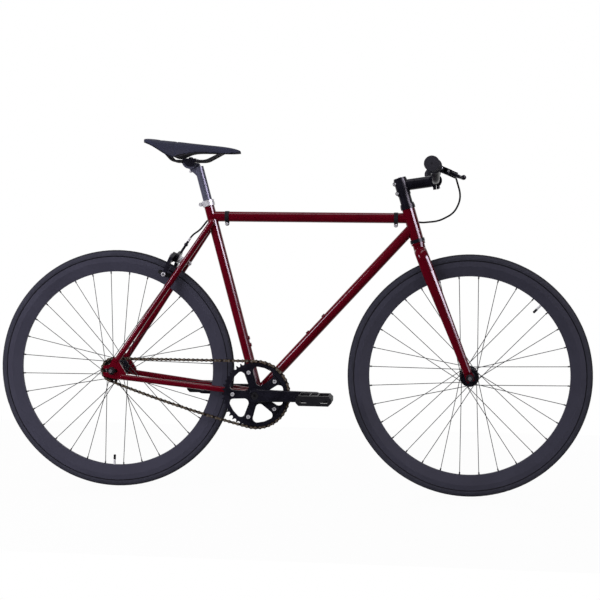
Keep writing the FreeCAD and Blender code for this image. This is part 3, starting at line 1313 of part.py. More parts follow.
def stem():
    """A threadless stem: the split steerer clamp, the extension and the bar clamp with its faceplate."""
    post = rod(on_steering(stem_base), on_steering(stem_top), STEM_CLAMP_RADIUS)
    steer_back = steer_front * -1
    for rise in (PINCH_BOLT_INSET, STEM_CLAMP_HEIGHT - PINCH_BOLT_INSET):
        ear = on_steering(stem_base + rise) + steer_back * (STEM_CLAMP_RADIUS - 1)
        post = post.fuse(disc(ear.x, ear.z, PINCH_EAR_RADIUS, -PINCH_EAR_HALF, PINCH_EAR_HALF))
        post = post.cut(disc(ear.x, ear.z, PINCH_BOLT_RADIUS, -PINCH_EAR_HALF, PINCH_EAR_HALF))
    slit = Part.makeBox(STEM_CLAMP_RADIUS * 2, STEM_SLIT, STEM_CLAMP_HEIGHT * 2)
    slit.translate(V(-STEM_CLAMP_RADIUS * 2, -STEM_SLIT / 2, -STEM_CLAMP_HEIGHT))
    slit.rotate(V(0, 0, 0), ACROSS, HEAD_ANGLE - 90)
    post = post.cut(slit.translated(on_steering(stem_base + STEM_CLAMP_HEIGHT / 2)))

    x, z, half = bar_centre.x, bar_centre.z, BAR_CLAMP_WIDTH / 2
    ring = disc(x, z, BAR_CLAMP_RADIUS, -half, half)
    up = V(-stem_way.z, 0, stem_way.x)
    for way in (1, -1):
        ear = bar_centre + up * (way * (BAR_CLAMP_RADIUS + 1))
        back, front = ear - stem_way * FACEPLATE_EAR_BACK, ear + stem_way * FACEPLATE_EAR_FRONT
        for y in (half - FACEPLATE_EAR_INSET, FACEPLATE_EAR_INSET - half):
            ring = ring.fuse(rod(back, front, FACEPLATE_EAR_RADIUS).translated(V(0, y, 0)))
    bore = disc(x, z, BAR_CENTRE_RADIUS + RUNNING_FIT, -half, half)
    faceplate = ring.cut(bore).cut(stem_side(FACEPLATE_GAP, -BAR_CLAMP_RADIUS * 2))
    save("stem_faceplate", faceplate.removeSplitter())
    body = post.fuse([rod(stem_root, bar_centre, STEM_RADIUS), ring])
    body = body.cut(rod(on_steering(stem_base), on_steering(stem_top), STEERER_RADIUS + RUNNING_FIT))
    body = body.cut(bore).cut(stem_side(BAR_CLAMP_RADIUS * 2, 0))
    save("stem", body.removeSplitter())

    cap = rod(on_steering(stem_top), on_steering(stem_top + TOP_CAP_HEIGHT), STEM_CLAMP_RADIUS - 1)
    cap = cap.makeFillet(TOP_CAP_HEIGHT * 0.4, [cap.Edges[0]])
    plug_low = on_steering(stem_top - TOP_CAP_GAP + SEAT_GAP)
    cap = cap.fuse(rod(plug_low, on_steering(stem_top), STEERER_BORE - 1))
    save("stem_top_cap", cap.removeSplitter())


# Handlebar, drawn from right to left
def bar_points():
    rise = V(0, 0, BAR_RISE)
    right = [
        bar_centre + rise + V(-BAR_SWEEP, -BAR_HALF_WIDTH, 0),
        bar_centre + rise + V(0, -BAR_BEND_END, 0),
        bar_centre + V(0, -BAR_BEND_START, 0),
    ]
    return right + [V(p.x, -p.y, p.z) for p in reversed(right)]


bar_end = bar_points()[0]
bar_inward = (bar_points()[1] - bar_end).normalize()


def handlebar():
    path = rounded_path(bar_points(), [BAR_BEND_RADIUS] * 4)
    bar = swept_round(path, BAR_RADIUS)
    sleeve = disc(bar_centre.x, bar_centre.z, BAR_CENTRE_RADIUS, -BAR_CENTRE_HALF, BAR_CENTRE_HALF)
    bar = bar.fuse(sleeve).cut(swept_round(path, BAR_RADIUS - BAR_WALL))
    save("handlebar", bar)


def grip():
    """The right grip: a soft sleeve with a flange at each end and a closed outer end."""
    outer = bar_end - bar_inward * GRIP_END_WALL
    inner = bar_end + bar_inward * GRIP_LENGTH
    body = rod(outer, inner, GRIP_RADIUS)
    body = body.fuse(rod(outer, outer + bar_inward * GRIP_FLANGE_WIDTH, GRIP_FLANGE_RADIUS))
    body = body.fuse(rod(inner - bar_inward * GRIP_FLANGE_WIDTH, inner, GRIP_FLANGE_RADIUS))
    return body.cut(rod(bar_end, inner, BAR_RADIUS + RUNNING_FIT)).removeSplitter()


def grips():
    right = grip()
    save("grips", right, mirrored(right))


# Brake lever on the right, beside the grip
lever_out = bar_inward * -1
lever_base = bar_end + bar_inward * (GRIP_LENGTH + LEVER_CLAMP_WIDTH / 2 + 1)
lever_up = V(math.sin(math.radians(LEVER_DROP_ANGLE)), 0, math.cos(math.radians(LEVER_DROP_ANGLE)))
lever_reach = lever_up.cross(bar_inward).normalize() * -1


def at_lever(out, reach, up=0.0):
    return lever_base + lever_out * out + lever_reach * reach + lever_up * up


def lever_block(outline, half):
    corners = [at_lever(out, reach, -half) for out, reach in outline]
    return Part.Face(Part.makePolygon(corners + corners[:1])).extrude(lever_up * (2 * half))


def lever_pin(radius):
    half = LEVER_BODY_HEIGHT / 2
    return rod(at_lever(0, LEVER_PIVOT_REACH, -half), at_lever(0, LEVER_PIVOT_REACH, half), radius)


def brake_lever_bracket():
    """The bar clamp with a forked pivot and a barrel that takes the end of the cable housing."""
    half, pivot, inner = LEVER_CLAMP_WIDTH / 2, LEVER_PIVOT_REACH, -LEVER_INNER_SIDE
    nose = pivot + LEVER_ROOT
    cable_side = LEVER_CABLE_REACH + LEVER_BARREL_RADIUS + 2
    body = lever_block(
        [
            (-half, LEVER_ROOT), (half, LEVER_ROOT), (half + 0.8, nose), (-LEVER_THROAT, nose),
            (-LEVER_THROAT, cable_side), (inner, cable_side), (inner, LEVER_CABLE_REACH - 7),
        ],
        LEVER_BODY_HEIGHT / 2,
    )
    slot_in, slot_low, slot_high = -LEVER_THROAT - 0.2, pivot - LEVER_SLOT_LOW, pivot + LEVER_SLOT_HIGH
    slot = lever_block(
        [(slot_in, slot_low), (LEVER_SLOT_OUT, slot_low), (LEVER_SLOT_OUT, slot_high), (slot_in, slot_high)],
        LEVER_BLADE_RADIUS + SEAT_GAP,
    )
    ring = rod(at_lever(-half, 0), at_lever(half, 0), LEVER_CLAMP_RADIUS)
    body = body.fuse(ring).cut(slot).fuse(lever_pin(LEVER_PIVOT_RADIUS))
    barrel_end = at_lever(inner - LEVER_BARREL_LENGTH, LEVER_CABLE_REACH)
    body = body.fuse(rod(at_lever(inner + 1, LEVER_CABLE_REACH), barrel_end, LEVER_BARREL_RADIUS))
    seat = barrel_end + lever_out * (CABLE_SEAT + SEAT_GAP)
    body = body.cut(rod(seat, barrel_end, CABLE_RADIUS + RUNNING_FIT))
    body = body.cut(rod(at_lever(-30, 0), at_lever(30, 0), BAR_RADIUS + RUNNING_FIT))
    save("brake_lever_bracket", body.removeSplitter())


def brake_lever():
    """The blade: a hub on the pivot, a root that reaches out, and a long bent finger with a ball end."""
    pivot = LEVER_PIVOT_REACH
    points = [at_lever(out, pivot + reach) for out, reach in LEVER_PATH]
    finger = swept_round(rounded_path(points, LEVER_BENDS), LEVER_BLADE_RADIUS)
    ball = Part.makeSphere(LEVER_BLADE_RADIUS * LEVER_BALL, points[-1])
    half = LEVER_BLADE_RADIUS
    hub_disc = rod(at_lever(0, pivot, -half), at_lever(0, pivot, half), LEVER_HUB_RADIUS)
    lever = hub_disc.fuse([finger, ball]).cut(lever_pin(LEVER_PIVOT_RADIUS + RUNNING_FIT))
    save("brake_lever", lever.removeSplitter())


# Rear caliper: x to the left, y back along the bolt and z up, until it is placed
caliper_origin = bridge_centre + bolt_way * CALIPER_STANDOFF
caliper_up = reach_way * -1


def at_caliper(shape):
    matrix = FreeCAD.Matrix(
        0, bolt_way.x, caliper_up.x, caliper_origin.x,
        1, 0, 0, 0,
        0, bolt_way.z, caliper_up.z, caliper_origin.z,
        0, 0, 0, 1,
    )
    placed = shape.copy()
    placed.Placement = FreeCAD.Placement(matrix).multiply(placed.Placement)
    return placed


pad_inner = RIM_WIDTH / 2 + PAD_GAP
pad_x = pad_inner + PAD_THICKNESS / 2
arm_foot_x = pad_inner + PAD_THICKNESS + CALIPER_ARM_WIDTH / 2 + 2


def caliper_arm(side, layer, link_ends):
    """A curved arm from the pad over the tyre to the pivot, as a run of tapered links in one layer."""
    width = CALIPER_ARM_WIDTH / 2
    pivot = V(0, 0, 0)
    shoulder = V(side * (arm_foot_x - 3), 0, -CALIPER_REACH * 0.14)
    elbow = V(side * (arm_foot_x + 2), 0, -CALIPER_REACH * 0.55)
    foot = V(side * arm_foot_x, 0, -CALIPER_REACH)
    arm = tapered_link(pivot, shoulder, CALIPER_HUB_RADIUS, width + 2, CALIPER_ARM_THICKNESS)
    links = [(shoulder, elbow, width + 2, width + 0.5), (elbow, foot, width + 0.5, width)]
    links += [(pivot, end, CALIPER_HUB_RADIUS, width) for end in link_ends]
    for link in links:
        arm = arm.fuse(tapered_link(*link, CALIPER_ARM_THICKNESS))
    arm = arm.removeSplitter().translated(V(0, layer, 0))
    arm = arm.cut(disc(0, 0, BRAKE_BOLT_RADIUS + RUNNING_FIT, layer, layer + CALIPER_ARM_THICKNESS))
    middle = layer + CALIPER_ARM_THICKNESS / 2

    def across_arm(x_from, x_to, radius):
        return rod(V(side * x_from, middle, foot.z), V(side * x_to, middle, foot.z), radius)

    flat = arm_foot_x + width
    arm = arm.cut(across_arm(arm_foot_x - 12, arm_foot_x + 12, PAD_POST_RADIUS + RUNNING_FIT))
    return arm.cut(across_arm(flat, flat + 12, PAD_POST_RADIUS * 2))


def brake_pad(side, layer):
    """A rubber block in its holder, with a post and nut through the arm."""
    middle, z = layer + CALIPER_ARM_THICKNESS / 2, -CALIPER_REACH
    centre = CALIPER_ARM_THICKNESS + SEAT_GAP / 2
    block = Part.makeBox(PAD_THICKNESS, PAD_LENGTH, PAD_HEIGHT)
    block = block.makeFillet(2, [e for e in block.Edges if abs(e.tangentAt(e.FirstParameter).x) > 0.99])
    block.translate(V(side * pad_x - PAD_THICKNESS / 2, centre - PAD_LENGTH / 2, z - PAD_HEIGHT / 2))
    back = V(side * (pad_inner + PAD_THICKNESS - 1), middle, z)
    nut_seat = V(side * (arm_foot_x + CALIPER_ARM_WIDTH / 2), middle, z)
    outward = V(side, 0, 0)
    post = rod(back, nut_seat + outward * PAD_POST_END, PAD_POST_RADIUS)
    nut = rod(nut_seat, nut_seat + outward * PAD_NUT_WIDTH, PAD_POST_RADIUS * 1.7)
    return block.fuse([post, nut]).removeSplitter()


second_layer = CALIPER_ARM_THICKNESS + SEAT_GAP
adjuster_foot = V(ADJUSTER_X, CALIPER_ARM_THICKNESS / 2, ADJUSTER_Z)
adjuster_way = V(0, -math.sin(math.radians(ADJUSTER_LEAN)), math.cos(math.radians(ADJUSTER_LEAN)))


def caliper():
    """A side pull caliper: two crossed arms on one bolt, the left with the barrel adjuster."""
    adjuster_top = adjuster_foot + adjuster_way * ADJUSTER_LENGTH

    def below_top(distance):
        return adjuster_top - adjuster_way * distance

    left = caliper_arm(1, 0, [V(ADJUSTER_X, 0, ADJUSTER_Z)])
    left = left.fuse(rod(adjuster_foot - adjuster_way * 4, adjuster_top, ADJUSTER_RADIUS))
    left = left.fuse(rod(below_top(ADJUSTER_KNOB_FROM), below_top(ADJUSTER_KNOB_TO), ADJUSTER_KNOB_RADIUS))
    left = left.cut(rod(below_top(CABLE_SEAT + SEAT_GAP), adjuster_top, CABLE_RADIUS + RUNNING_FIT))
    save("caliper_arm_left", at_caliper(left.removeSplitter()))
    save("caliper_arm_right", at_caliper(caliper_arm(-1, second_layer, [ANCHOR_END])))
    save("brake_pad_left", at_caliper(brake_pad(1, 0)))
    save("brake_pad_right", at_caliper(brake_pad(-1, second_layer)))


def brake_bolt():
    """The bolt through the bridge and both arms, with a spacer between them and a nut at each end."""
    bridge_front = -CALIPER_STANDOFF - BRIDGE_SLEEVE_HALF
    bridge_back = -CALIPER_STANDOFF + BRIDGE_SLEEVE_HALF
    arms_back = second_layer + CALIPER_ARM_THICKNESS + SEAT_GAP
    bolt = disc(0, 0, BRAKE_BOLT_RADIUS, bridge_front - 7, arms_back + 6)
    bolt = bolt.fuse(disc(0, 0, CALIPER_NUT_RADIUS, bridge_front - CALIPER_NUT_WIDTH, bridge_front))
    bolt = bolt.fuse(disc(0, 0, CALIPER_HUB_RADIUS - 3, bridge_back, -SEAT_GAP))
    bolt = bolt.fuse(disc(0, 0, CALIPER_NUT_RADIUS, arms_back, arms_back + CALIPER_NUT_WIDTH))
    save("brake_bolt", at_caliper(bolt.removeSplitter()))


# Brake cable: from the lever, past the head tube, along the top tube and down to the caliper
cable_y = MAIN_TUBE_RADIUS + CLIP_THICKNESS + CABLE_RADIUS + RUNNING_FIT


def on_caliper(point):
    return caliper_origin + V(0, point.x, 0) + bolt_way * point.y + caliper_up * point.z


def cable_points():
    lever_end = at_lever(-LEVER_INNER_SIDE - LEVER_BARREL_LENGTH + CABLE_SEAT, LEVER_CABLE_REACH)
    seat = on_caliper(adjuster_foot + adjuster_way * (ADJUSTER_LENGTH - CABLE_SEAT))
    bend = on_caliper(adjuster_foot + adjuster_way * (ADJUSTER_LENGTH + CABLE_ADJUSTER_RUN))
    run = [V(x, cable_y, TOP_TUBE_HEIGHT) for x in (CABLE_RUN_FRONT_X, CABLE_RUN_BACK_X)]
    lever_run = [lever_end, lever_end - lever_out * CABLE_LEVER_RUN]
    return lever_run + CABLE_BOW + run + [bend + CABLE_TURN, bend, seat]


def brake_cable():
    """The housing, with each bend as wide as its straight runs allow."""
    points = cable_points()
    radii = []
    for before, here, after in zip(points, points[1:], points[2:]):
        turn = (here - before).getAngle(after - here)
        shorter = min((here - before).Length, (after - here).Length)
        radii.append(min(0.45 * shorter / math.tan(turn / 2), CABLE_LARGEST_BEND))
    save("brake_cable", swept_round(rounded_path(points, radii), CABLE_RADIUS))


def cable_clips():
    """Two bands round the top tube, each with a loop for the housing and a screwed ear below."""
    half, ear_half = CLIP_WIDTH / 2, CLIP_EAR_HALF
    ear_z = TOP_TUBE_HEIGHT - MAIN_TUBE_RADIUS - CLIP_EAR / 2
    loop_way = V(0, cable_y, 0)
    clips = []
    for x in (FRONT_CLIP_X, REAR_CLIP_X):
        low, high = V(x - half, 0, TOP_TUBE_HEIGHT), V(x + half, 0, TOP_TUBE_HEIGHT)
        band = rod(low, high, MAIN_TUBE_RADIUS + CLIP_THICKNESS)
        band = band.fuse(rod(low + loop_way, high + loop_way, CABLE_RADIUS + CLIP_THICKNESS))
        ear = disc(x, ear_z, half, -ear_half, ear_half)
        ear_top = ear_z + CLIP_EAR / 2 + 2
        ear = ear.fuse(straight_block(x - half, x + half, ear_z, ear_top, -ear_half, ear_half))
        screw = disc(x, ear_z, CLIP_SCREW_RADIUS, CLIP_SCREW_FROM, CLIP_SCREW_TO)
        band = band.fuse([ear, screw])
        band = band.cut(rod(low, high, MAIN_TUBE_RADIUS + RUNNING_FIT))
        band = band.cut(rod(low + loop_way, high + loop_way, CABLE_RADIUS + RUNNING_FIT))
        clips.append(band.removeSplitter())
    save("cable_clips", *clips)


# Seatpost and saddle
post_top = on_seat_tube(seat_tube_length + SEATPOST_SHOWN)
tilt_axis = post_top + V(-CLAMP_SETBACK, 0, CRADLE_RADIUS)
rail_height = tilt_axis.z - RAIL_DROP


def seatpost():
    """A tube with a curved seat for the saddle clamp at its top, set back from the tube."""
    shown_end = seat_tube_length + SEATPOST_SHOWN
    low = on_seat_tube(seat_tube_length - SEATPOST_INSERT)
    half = CLAMP_HALF_WIDTH - SEATPOST_HEAD_INSET
    post = rod(low, post_top, SEATPOST_RADIUS)
    head = disc(tilt_axis.x, tilt_axis.z, CRADLE_RADIUS + SEATPOST_HEAD_WALL, -half, half)
    neck_foot = on_seat_tube(shown_end - SEATPOST_NECK_DROP)
    neck = tapered_link(tilt_axis, neck_foot, CRADLE_RADIUS + 2, SEATPOST_NECK_RADIUS, SEATPOST_NECK_WIDTH)
    post = post.fuse([head, neck.translated(V(0, -SEATPOST_NECK_WIDTH / 2, 0))])
    long, wide, high = 120, 80, 60
    above = Part.makeBox(long, wide, high, tilt_axis - V(long / 2, wide / 2, CRADLE_RADIUS * 0.42))
    post = post.cut(above).cut(disc(tilt_axis.x, tilt_axis.z, CRADLE_RADIUS, -half, half))
    bore_end = on_seat_tube(shown_end - SEATPOST_SOLID)
    post = post.cut(rod(low, bore_end, SEATPOST_RADIUS - SEATPOST_WALL))
    save("seatpost", post.removeSplitter())


def rail(radius):
    """The left rail: level through the clamp, rising to the shell at the nose and at the back."""
    y, z = RAIL_HALF_SPACING, rail_height
    points = [
        V(tilt_axis.x - 86, y + 14, z + 44), V(tilt_axis.x - 48, y, z),
        V(tilt_axis.x + 46, y, z), V(tilt_axis.x + 112, y - 12, z + 34),
    ]
    return swept_round(rounded_path(points, [24, 40]), radius)


def saddle_clamp():
    """The lower cradle with its bolt, and the plate that presses the rails on to it."""
    x, z, half = tilt_axis.x, rail_height, CLAMP_HALF_WIDTH
    split_low, split_high = z - CLAMP_HALF_SPLIT, z + CLAMP_HALF_SPLIT
    lower = disc(tilt_axis.x, tilt_axis.z, CRADLE_RADIUS - SEAT_GAP, -half, half)
    reach, wide = 40, 40
    lower = lower.cut(Part.makeBox(2 * reach, 2 * wide, reach, V(x - reach, -wide, split_low)))
    bolt_low, bolt_high = V(x, 0, z - CLAMP_BOLT_BELOW), V(x, 0, z + CLAMP_PLATE + CLAMP_BOLT_ABOVE)
    lower = lower.fuse(rod(bolt_low, bolt_high, CLAMP_BOLT_RADIUS))
    upper = Part.makeBox(CLAMP_LENGTH, 2 * half, CLAMP_PLATE, V(x - CLAMP_LENGTH / 2, -half, split_high))
    upper = upper.makeFillet(2, [e for e in upper.Edges if e.BoundBox.ZMin > z + CLAMP_PLATE])
    nut_seat = V(x, 0, split_high + CLAMP_PLATE)
    upper = upper.fuse(rod(nut_seat, nut_seat + V(0, 0, CLAMP_NUT_HEIGHT), CLAMP_BOLT_RADIUS * 2))
    upper = upper.cut(rod(bolt_low, bolt_high, CLAMP_BOLT_RADIUS + RUNNING_FIT))
    for y in (-RAIL_HALF_SPACING, RAIL_HALF_SPACING):
        groove = rod(V(x - reach, y, z), V(x + reach, y, z), RAIL_RADIUS + RUNNING_FIT)
        lower, upper = lower.cut(groove), upper.cut(groove)
    save("saddle_clamp", lower.removeSplitter(), upper.removeSplitter())


def saddle_at(station):
    along, half, crown_z, edge_z = station
    thickness = min(PAD_CROWN, 0.6 * (crown_z - edge_z))
    return tilt_axis.x + along, half, rail_height + crown_z, rail_height + edge_z, thickness


def arch_height(y, half, middle, edge):
    """Height at y of the arc through both edges and the middle of an arch."""
    rise = middle - edge
    radius = (half**2 + rise**2) / (2 * rise)
    return middle - radius + math.sqrt(radius**2 - y**2)


def pad_section(station):
    x, half, top, edge, thickness = saddle_at(station)
    side_y, side_z = half * PAD_SHOULDER_WIDTH, top - PAD_SHOULDER_DROP * (top - edge)
    bulge_y, bulge_z = half * PAD_BULGE_WIDTH, edge + PAD_BULGE_HEIGHT * (side_z - edge)
    left, right = V(x, half, edge), V(x, -half, edge)
    left_side, right_side = V(x, side_y, side_z), V(x, -side_y, side_z)
    edges = [
        Part.Arc(right, V(x, 0, top - thickness), left).toShape(),
        Part.Arc(left, V(x, bulge_y, bulge_z), left_side).toShape(),
        Part.Arc(left_side, V(x, 0, top), right_side).toShape(),
        Part.Arc(right_side, V(x, -bulge_y, bulge_z), right).toShape(),
    ]
    return Part.Wire(edges)


def shell_section(station):
    x, half, top, edge, thickness = saddle_at(station)
    middle = top - thickness
    inset = half - SHELL_INSET
    rim_z = arch_height(inset, half, middle, edge) - SHELL_GAP
    left, right = V(x, inset, rim_z), V(x, -inset, rim_z)
    down = V(0, 0, -SHELL_PLATE)
    crown_point = V(x, 0, middle - SHELL_GAP)
    edges = [
        Part.Arc(right, crown_point, left).toShape(),
        Part.LineSegment(left, left + down).toShape(),
        Part.Arc(left + down, crown_point + down, right + down).toShape(),
        Part.LineSegment(right + down, right).toShape(),
    ]
    return Part.Wire(edges)


def saddle():
    pad = Part.makeLoft([pad_section(s) for s in SADDLE_STATIONS], True, False)
    save("saddle_pad", pad)
    shell = Part.makeLoft([shell_section(s) for s in SADDLE_STATIONS], True, False)
    save("saddle_shell", shell)
    clear = shell.translated(V(0, 0, -SEAT_GAP))
    left = max(rail(RAIL_RADIUS).cut([clear, shell, pad]).Solids, key=lambda s: s.Volume)
    save("saddle_rails", left, mirrored(left))


os.makedirs("parts", exist_ok=True)
frame_tubes()
rear_triangle()
seat_collar()
headset_cups()
bottom_bracket()
wheel("front", front_axle, FRONT_VALVE_ANGLE, FRONT_SPACING, FORK_END_THICKNESS, False)
wheel("rear", rear_axle, REAR_VALVE_ANGLE, REAR_SPACING, DROPOUT_THICKNESS, True)
chain_links()
sprockets()
cranks()
pedals()
fork()
headset_spacers()
stem()
handlebar()
grips()
brake_lever_bracket()
brake_lever()
caliper()
brake_bolt()
brake_cable()
cable_clips()
seatpost()
saddle_clamp()
saddle()
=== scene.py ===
"""Dresses the fixed gear bicycle: finishes, soft pieces, small fittings and a studio stage."""

import json
import math

import bpy
from mathutils import Matrix, Vector


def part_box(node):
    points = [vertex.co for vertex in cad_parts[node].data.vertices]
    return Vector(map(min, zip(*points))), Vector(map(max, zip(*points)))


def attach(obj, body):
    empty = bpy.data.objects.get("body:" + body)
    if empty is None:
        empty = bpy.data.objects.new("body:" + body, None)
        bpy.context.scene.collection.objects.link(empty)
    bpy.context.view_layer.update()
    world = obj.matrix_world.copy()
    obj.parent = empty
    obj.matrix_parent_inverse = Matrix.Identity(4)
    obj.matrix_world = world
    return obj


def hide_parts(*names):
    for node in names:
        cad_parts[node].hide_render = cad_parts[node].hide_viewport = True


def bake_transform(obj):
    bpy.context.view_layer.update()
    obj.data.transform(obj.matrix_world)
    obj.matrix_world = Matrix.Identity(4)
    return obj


bl_info = {
    "name": "Fixed gear bicycle",
    "version": (1, 0, 0),
    "blender": (4, 5, 0),
    "location": "3D View > Sidebar > Bicycle",
    "description": "Finishes, soft pieces, small fittings and a studio stage for a fixed gear bicycle",
    "category": "Object",
}

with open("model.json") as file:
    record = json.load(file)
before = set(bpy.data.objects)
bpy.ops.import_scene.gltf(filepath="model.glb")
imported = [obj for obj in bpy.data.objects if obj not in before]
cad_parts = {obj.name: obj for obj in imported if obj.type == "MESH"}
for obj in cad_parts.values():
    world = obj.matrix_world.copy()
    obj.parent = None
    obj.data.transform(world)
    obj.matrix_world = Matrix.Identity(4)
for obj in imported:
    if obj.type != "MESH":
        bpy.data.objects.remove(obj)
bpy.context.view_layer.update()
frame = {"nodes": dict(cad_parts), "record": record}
nodes = frame["nodes"]

# Wheels, in metres: x forward, y to the left, z up
wheel_low, wheel_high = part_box("front_tyre")
rim_low, rim_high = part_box("front_rim")
AXLE_X = (wheel_low[0] + wheel_high[0]) / 2
AXLE_Z = (wheel_low[2] + wheel_high[2]) / 2
RIM_EDGE = (rim_high[2] - rim_low[2]) / 2
RIM_DEPTH = 0.0475
VALVE_HIDDEN = 0.03
FRONT_VALVE_ANGLE = 46.1
REAR_VALVE_ANGLE = -91.6
VALVE_CAP_DROP = 0.009
VALVE_CAP_RINGS = 5
VALVE_CAP_PITCH = 0.0016

# Chain: its distance from the middle, and how far out its plates and pins reach from there
CHAIN_LINE = 0.044
OUTER_PLATE = 0.0029
PIN_HEAD = 0.00418

# Saddle: the dark hem at the foot of its cover, its two seams and its seat on the post
SADDLE_HEM_Z = 0.9415
SADDLE_HEM_X = -0.307
SADDLE_HEM_SLOPE = 0.46
SADDLE_SEAMS = (-0.3687, -0.3251)
SEAM_REACH = 0.0045
SADDLE_VOXEL = 0.0032
CLOTH_PRESSURE = 4.0
CLOTH_STEPS = 20
POST_BOLT_SEAT = Vector((-0.2885, 0.0, 0.9055))
POST_BOLT_WAY = Vector((0.10, 0.0, -1.0))

# Steering: its axis from the joint, then the stem, bar and lever as in the part's source
joints = {joint["name"]: joint for joint in frame["record"]["behaviour"]["joints"]}
RIGHT = Vector((0.0, -1.0, 0.0))
STEER_FOOT = Vector(joints["steering"]["pos_m"])
STEER_WAY = Vector(joints["steering"]["axis"])
STEER_BACK = Vector((-STEER_WAY.z, 0.0, STEER_WAY.x))
STEM_BASE = 0.5288
STEM_TOP = 0.5783
STEM_WAY = Vector((0.9890, 0.0, 0.1478))
STEM_UP = Vector((-STEM_WAY.z, 0.0, STEM_WAY.x))
PINCH_RISES = (0.009, 0.036)
PINCH_BACK = 0.0175
PINCH_SIDE = 0.013
PLATE_BOLT_RISE = 0.019
PLATE_BOLT_SIDE = 0.014
PLATE_BOLT_FRONT = 0.007
BAR_CENTRE = Vector((0.39414, 0.0, 0.87248))
BAR_END = Vector((0.38314, -0.290, 0.90348))
BAR_INWARD = Vector((0.0617, 0.9981, 0.0))
GRIP_LENGTH = 0.121
GRIP_RADIUS = 0.0155
GRIP_FLANGE = 0.0200
GRIP_OVERHANG = 0.003
GRIP_RIBS = 22
GRIP_RIB_DEPTH = 0.0007
GRIP_RIBS_FROM = 0.0060
GRIP_RIBS_SHORT = 0.0090
LEVER_BASE = Vector((0.3909, -0.1642, 0.9035))
LEVER_REACH = Vector((0.919, -0.057, -0.390))
LEVER_UP = -Vector(joints["brake_lever_pull"]["axis"])
LEVER_FACE = LEVER_BASE + RIGHT * 0.0074 + LEVER_UP * 0.002
LEVER_SCREWS = ((0.019, 0.0034), (0.038, 0.0028))

# Rear brake: the caliper's bolt from the joint, and places on the caliper as (left, back, up) from it
CALIPER_ORIGIN = Vector(joints["caliper_left_close"]["pos_m"])
BOLT_WAY = Vector(joints["caliper_left_close"]["axis"])
CALIPER_UP = Vector((BOLT_WAY.z, 0.0, -BOLT_WAY.x))
ADJUSTER_FOOT = (0.020, 0.005, 0.013)
ADJUSTER_LENGTH = 0.042
ADJUSTER_LEAN = math.radians(10.0)
WIRE_START = 0.003
WIRE_ROUTE = (
    (0.0215, 0.012, 0.002), (0.0225, 0.0216, -0.006), (0.0240, 0.0225, -0.020), (0.0265, 0.0230, -0.034))
WIRE_ANCHOR = (0.024, 0.0203, -0.006)
PAD_NUT_SIDE = 0.0379
PAD_NUT_DROP = 0.053
LEFT_PAD_BACK = 0.005
RIGHT_PAD_BACK = 0.0153

# Brake cable: its clips, where the housing is cut, and where the clip screws sit
clip_low, clip_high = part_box("cable_clips")
CLIP_HALF = 0.0055
FRONT_CLIP_X = clip_high[0] - CLIP_HALF
REAR_CLIP_X = clip_low[0] + CLIP_HALF
CLIP_SCREW_Y = -0.006
CLIP_SCREW_Z = clip_low[2] + 0.0055

# Modelling
SMOOTH_ANGLE = math.radians(35.0)
MERGE_DISTANCE = 0.00002

# Stage: the camera as measured from the photograph, and the studio's lamps
CAMERA_PLACE = (0.377, -3.440, 0.723)
CAMERA_YAW = math.radians(-5.86)
CAMERA_PITCH = math.radians(-3.05)
CAMERA_ROLL = math.radians(0.62)
SENSOR_WIDTH = 36.0
LENS_PIXELS = 1240.5
IMAGE_PIXELS = 600.0
FLOOR_CENTRE = (0.0, 0.2, -0.0005)
FLOOR_SIZE = (3.2, 1.9, 1.0)
FLOOR_WHITENESS = 0.965
LAMP_AIM = Vector((0.0, 0.0, 0.5))
WHITE = (0.95, 0.91, 1.0)
VIOLET = (0.90, 0.82, 1.0)
# Each lamp's name, watts, width, height, place and colour, and whether matt surfaces, mirrors or both see it
LAMPS = (
    ("left_box", 25.0, 1.2, 1.2, (-1.5, -1.4, 1.2), WHITE, "matt"),
    ("back_box", 40.0, 2.4, 1.2, (0.2, 2.6, 1.5), WHITE, "matt"),
    ("side_box", 26.0, 0.8, 2.4, (2.8, -2.7, 1.2), VIOLET, "mirror"),
    ("side_card", 134.0, 1.9, 1.1, (2.41, -1.67, 1.9), VIOLET, "mirror"),
    ("low_card", 12.0, 1.9, 1.2, (2.41, -1.67, 0.75), VIOLET, "mirror"),
    ("upper_card", 30.0, 0.8, 0.9, (-2.6, -2.0, 2.1), VIOLET, "mirror"),
    ("top_box", 16.0, 3.2, 0.7, (0.2, -0.2, 3.6), WHITE, "both"),
)


class FinishColours(bpy.types.PropertyGroup):
    """The colours of the bicycle's finishes."""
    paint: bpy.props.FloatVectorProperty(
        name="Paint", description="Gloss paint of the frame and fork",
        subtype="COLOR", size=3, default=(0.112, 0.0012, 0.0078))
    rim: bpy.props.FloatVectorProperty(
        name="Rims", description="Matt coating of the deep rims",
        subtype="COLOR", size=3, default=(0.049, 0.0485, 0.070))
    rubber: bpy.props.FloatVectorProperty(
        name="Tyres", description="Rubber of the tyres",
        subtype="COLOR", size=3, default=(0.040, 0.0405, 0.056))
    black: bpy.props.FloatVectorProperty(
        name="Black alloy", description="Black coating of stem, bar, hubs and cranks",
        subtype="COLOR", size=3, default=(0.0080, 0.0077, 0.0125))
    bronze: bpy.props.FloatVectorProperty(
        name="Chain", description="Bronze tint of the chain's outer plates",
        subtype="COLOR", size=3, default=(0.27, 0.21, 0.13))
    cover: bpy.props.FloatVectorProperty(
        name="Saddle cover", description="Leather of the saddle",
        subtype="COLOR", size=3, default=(0.032, 0.035, 0.063))


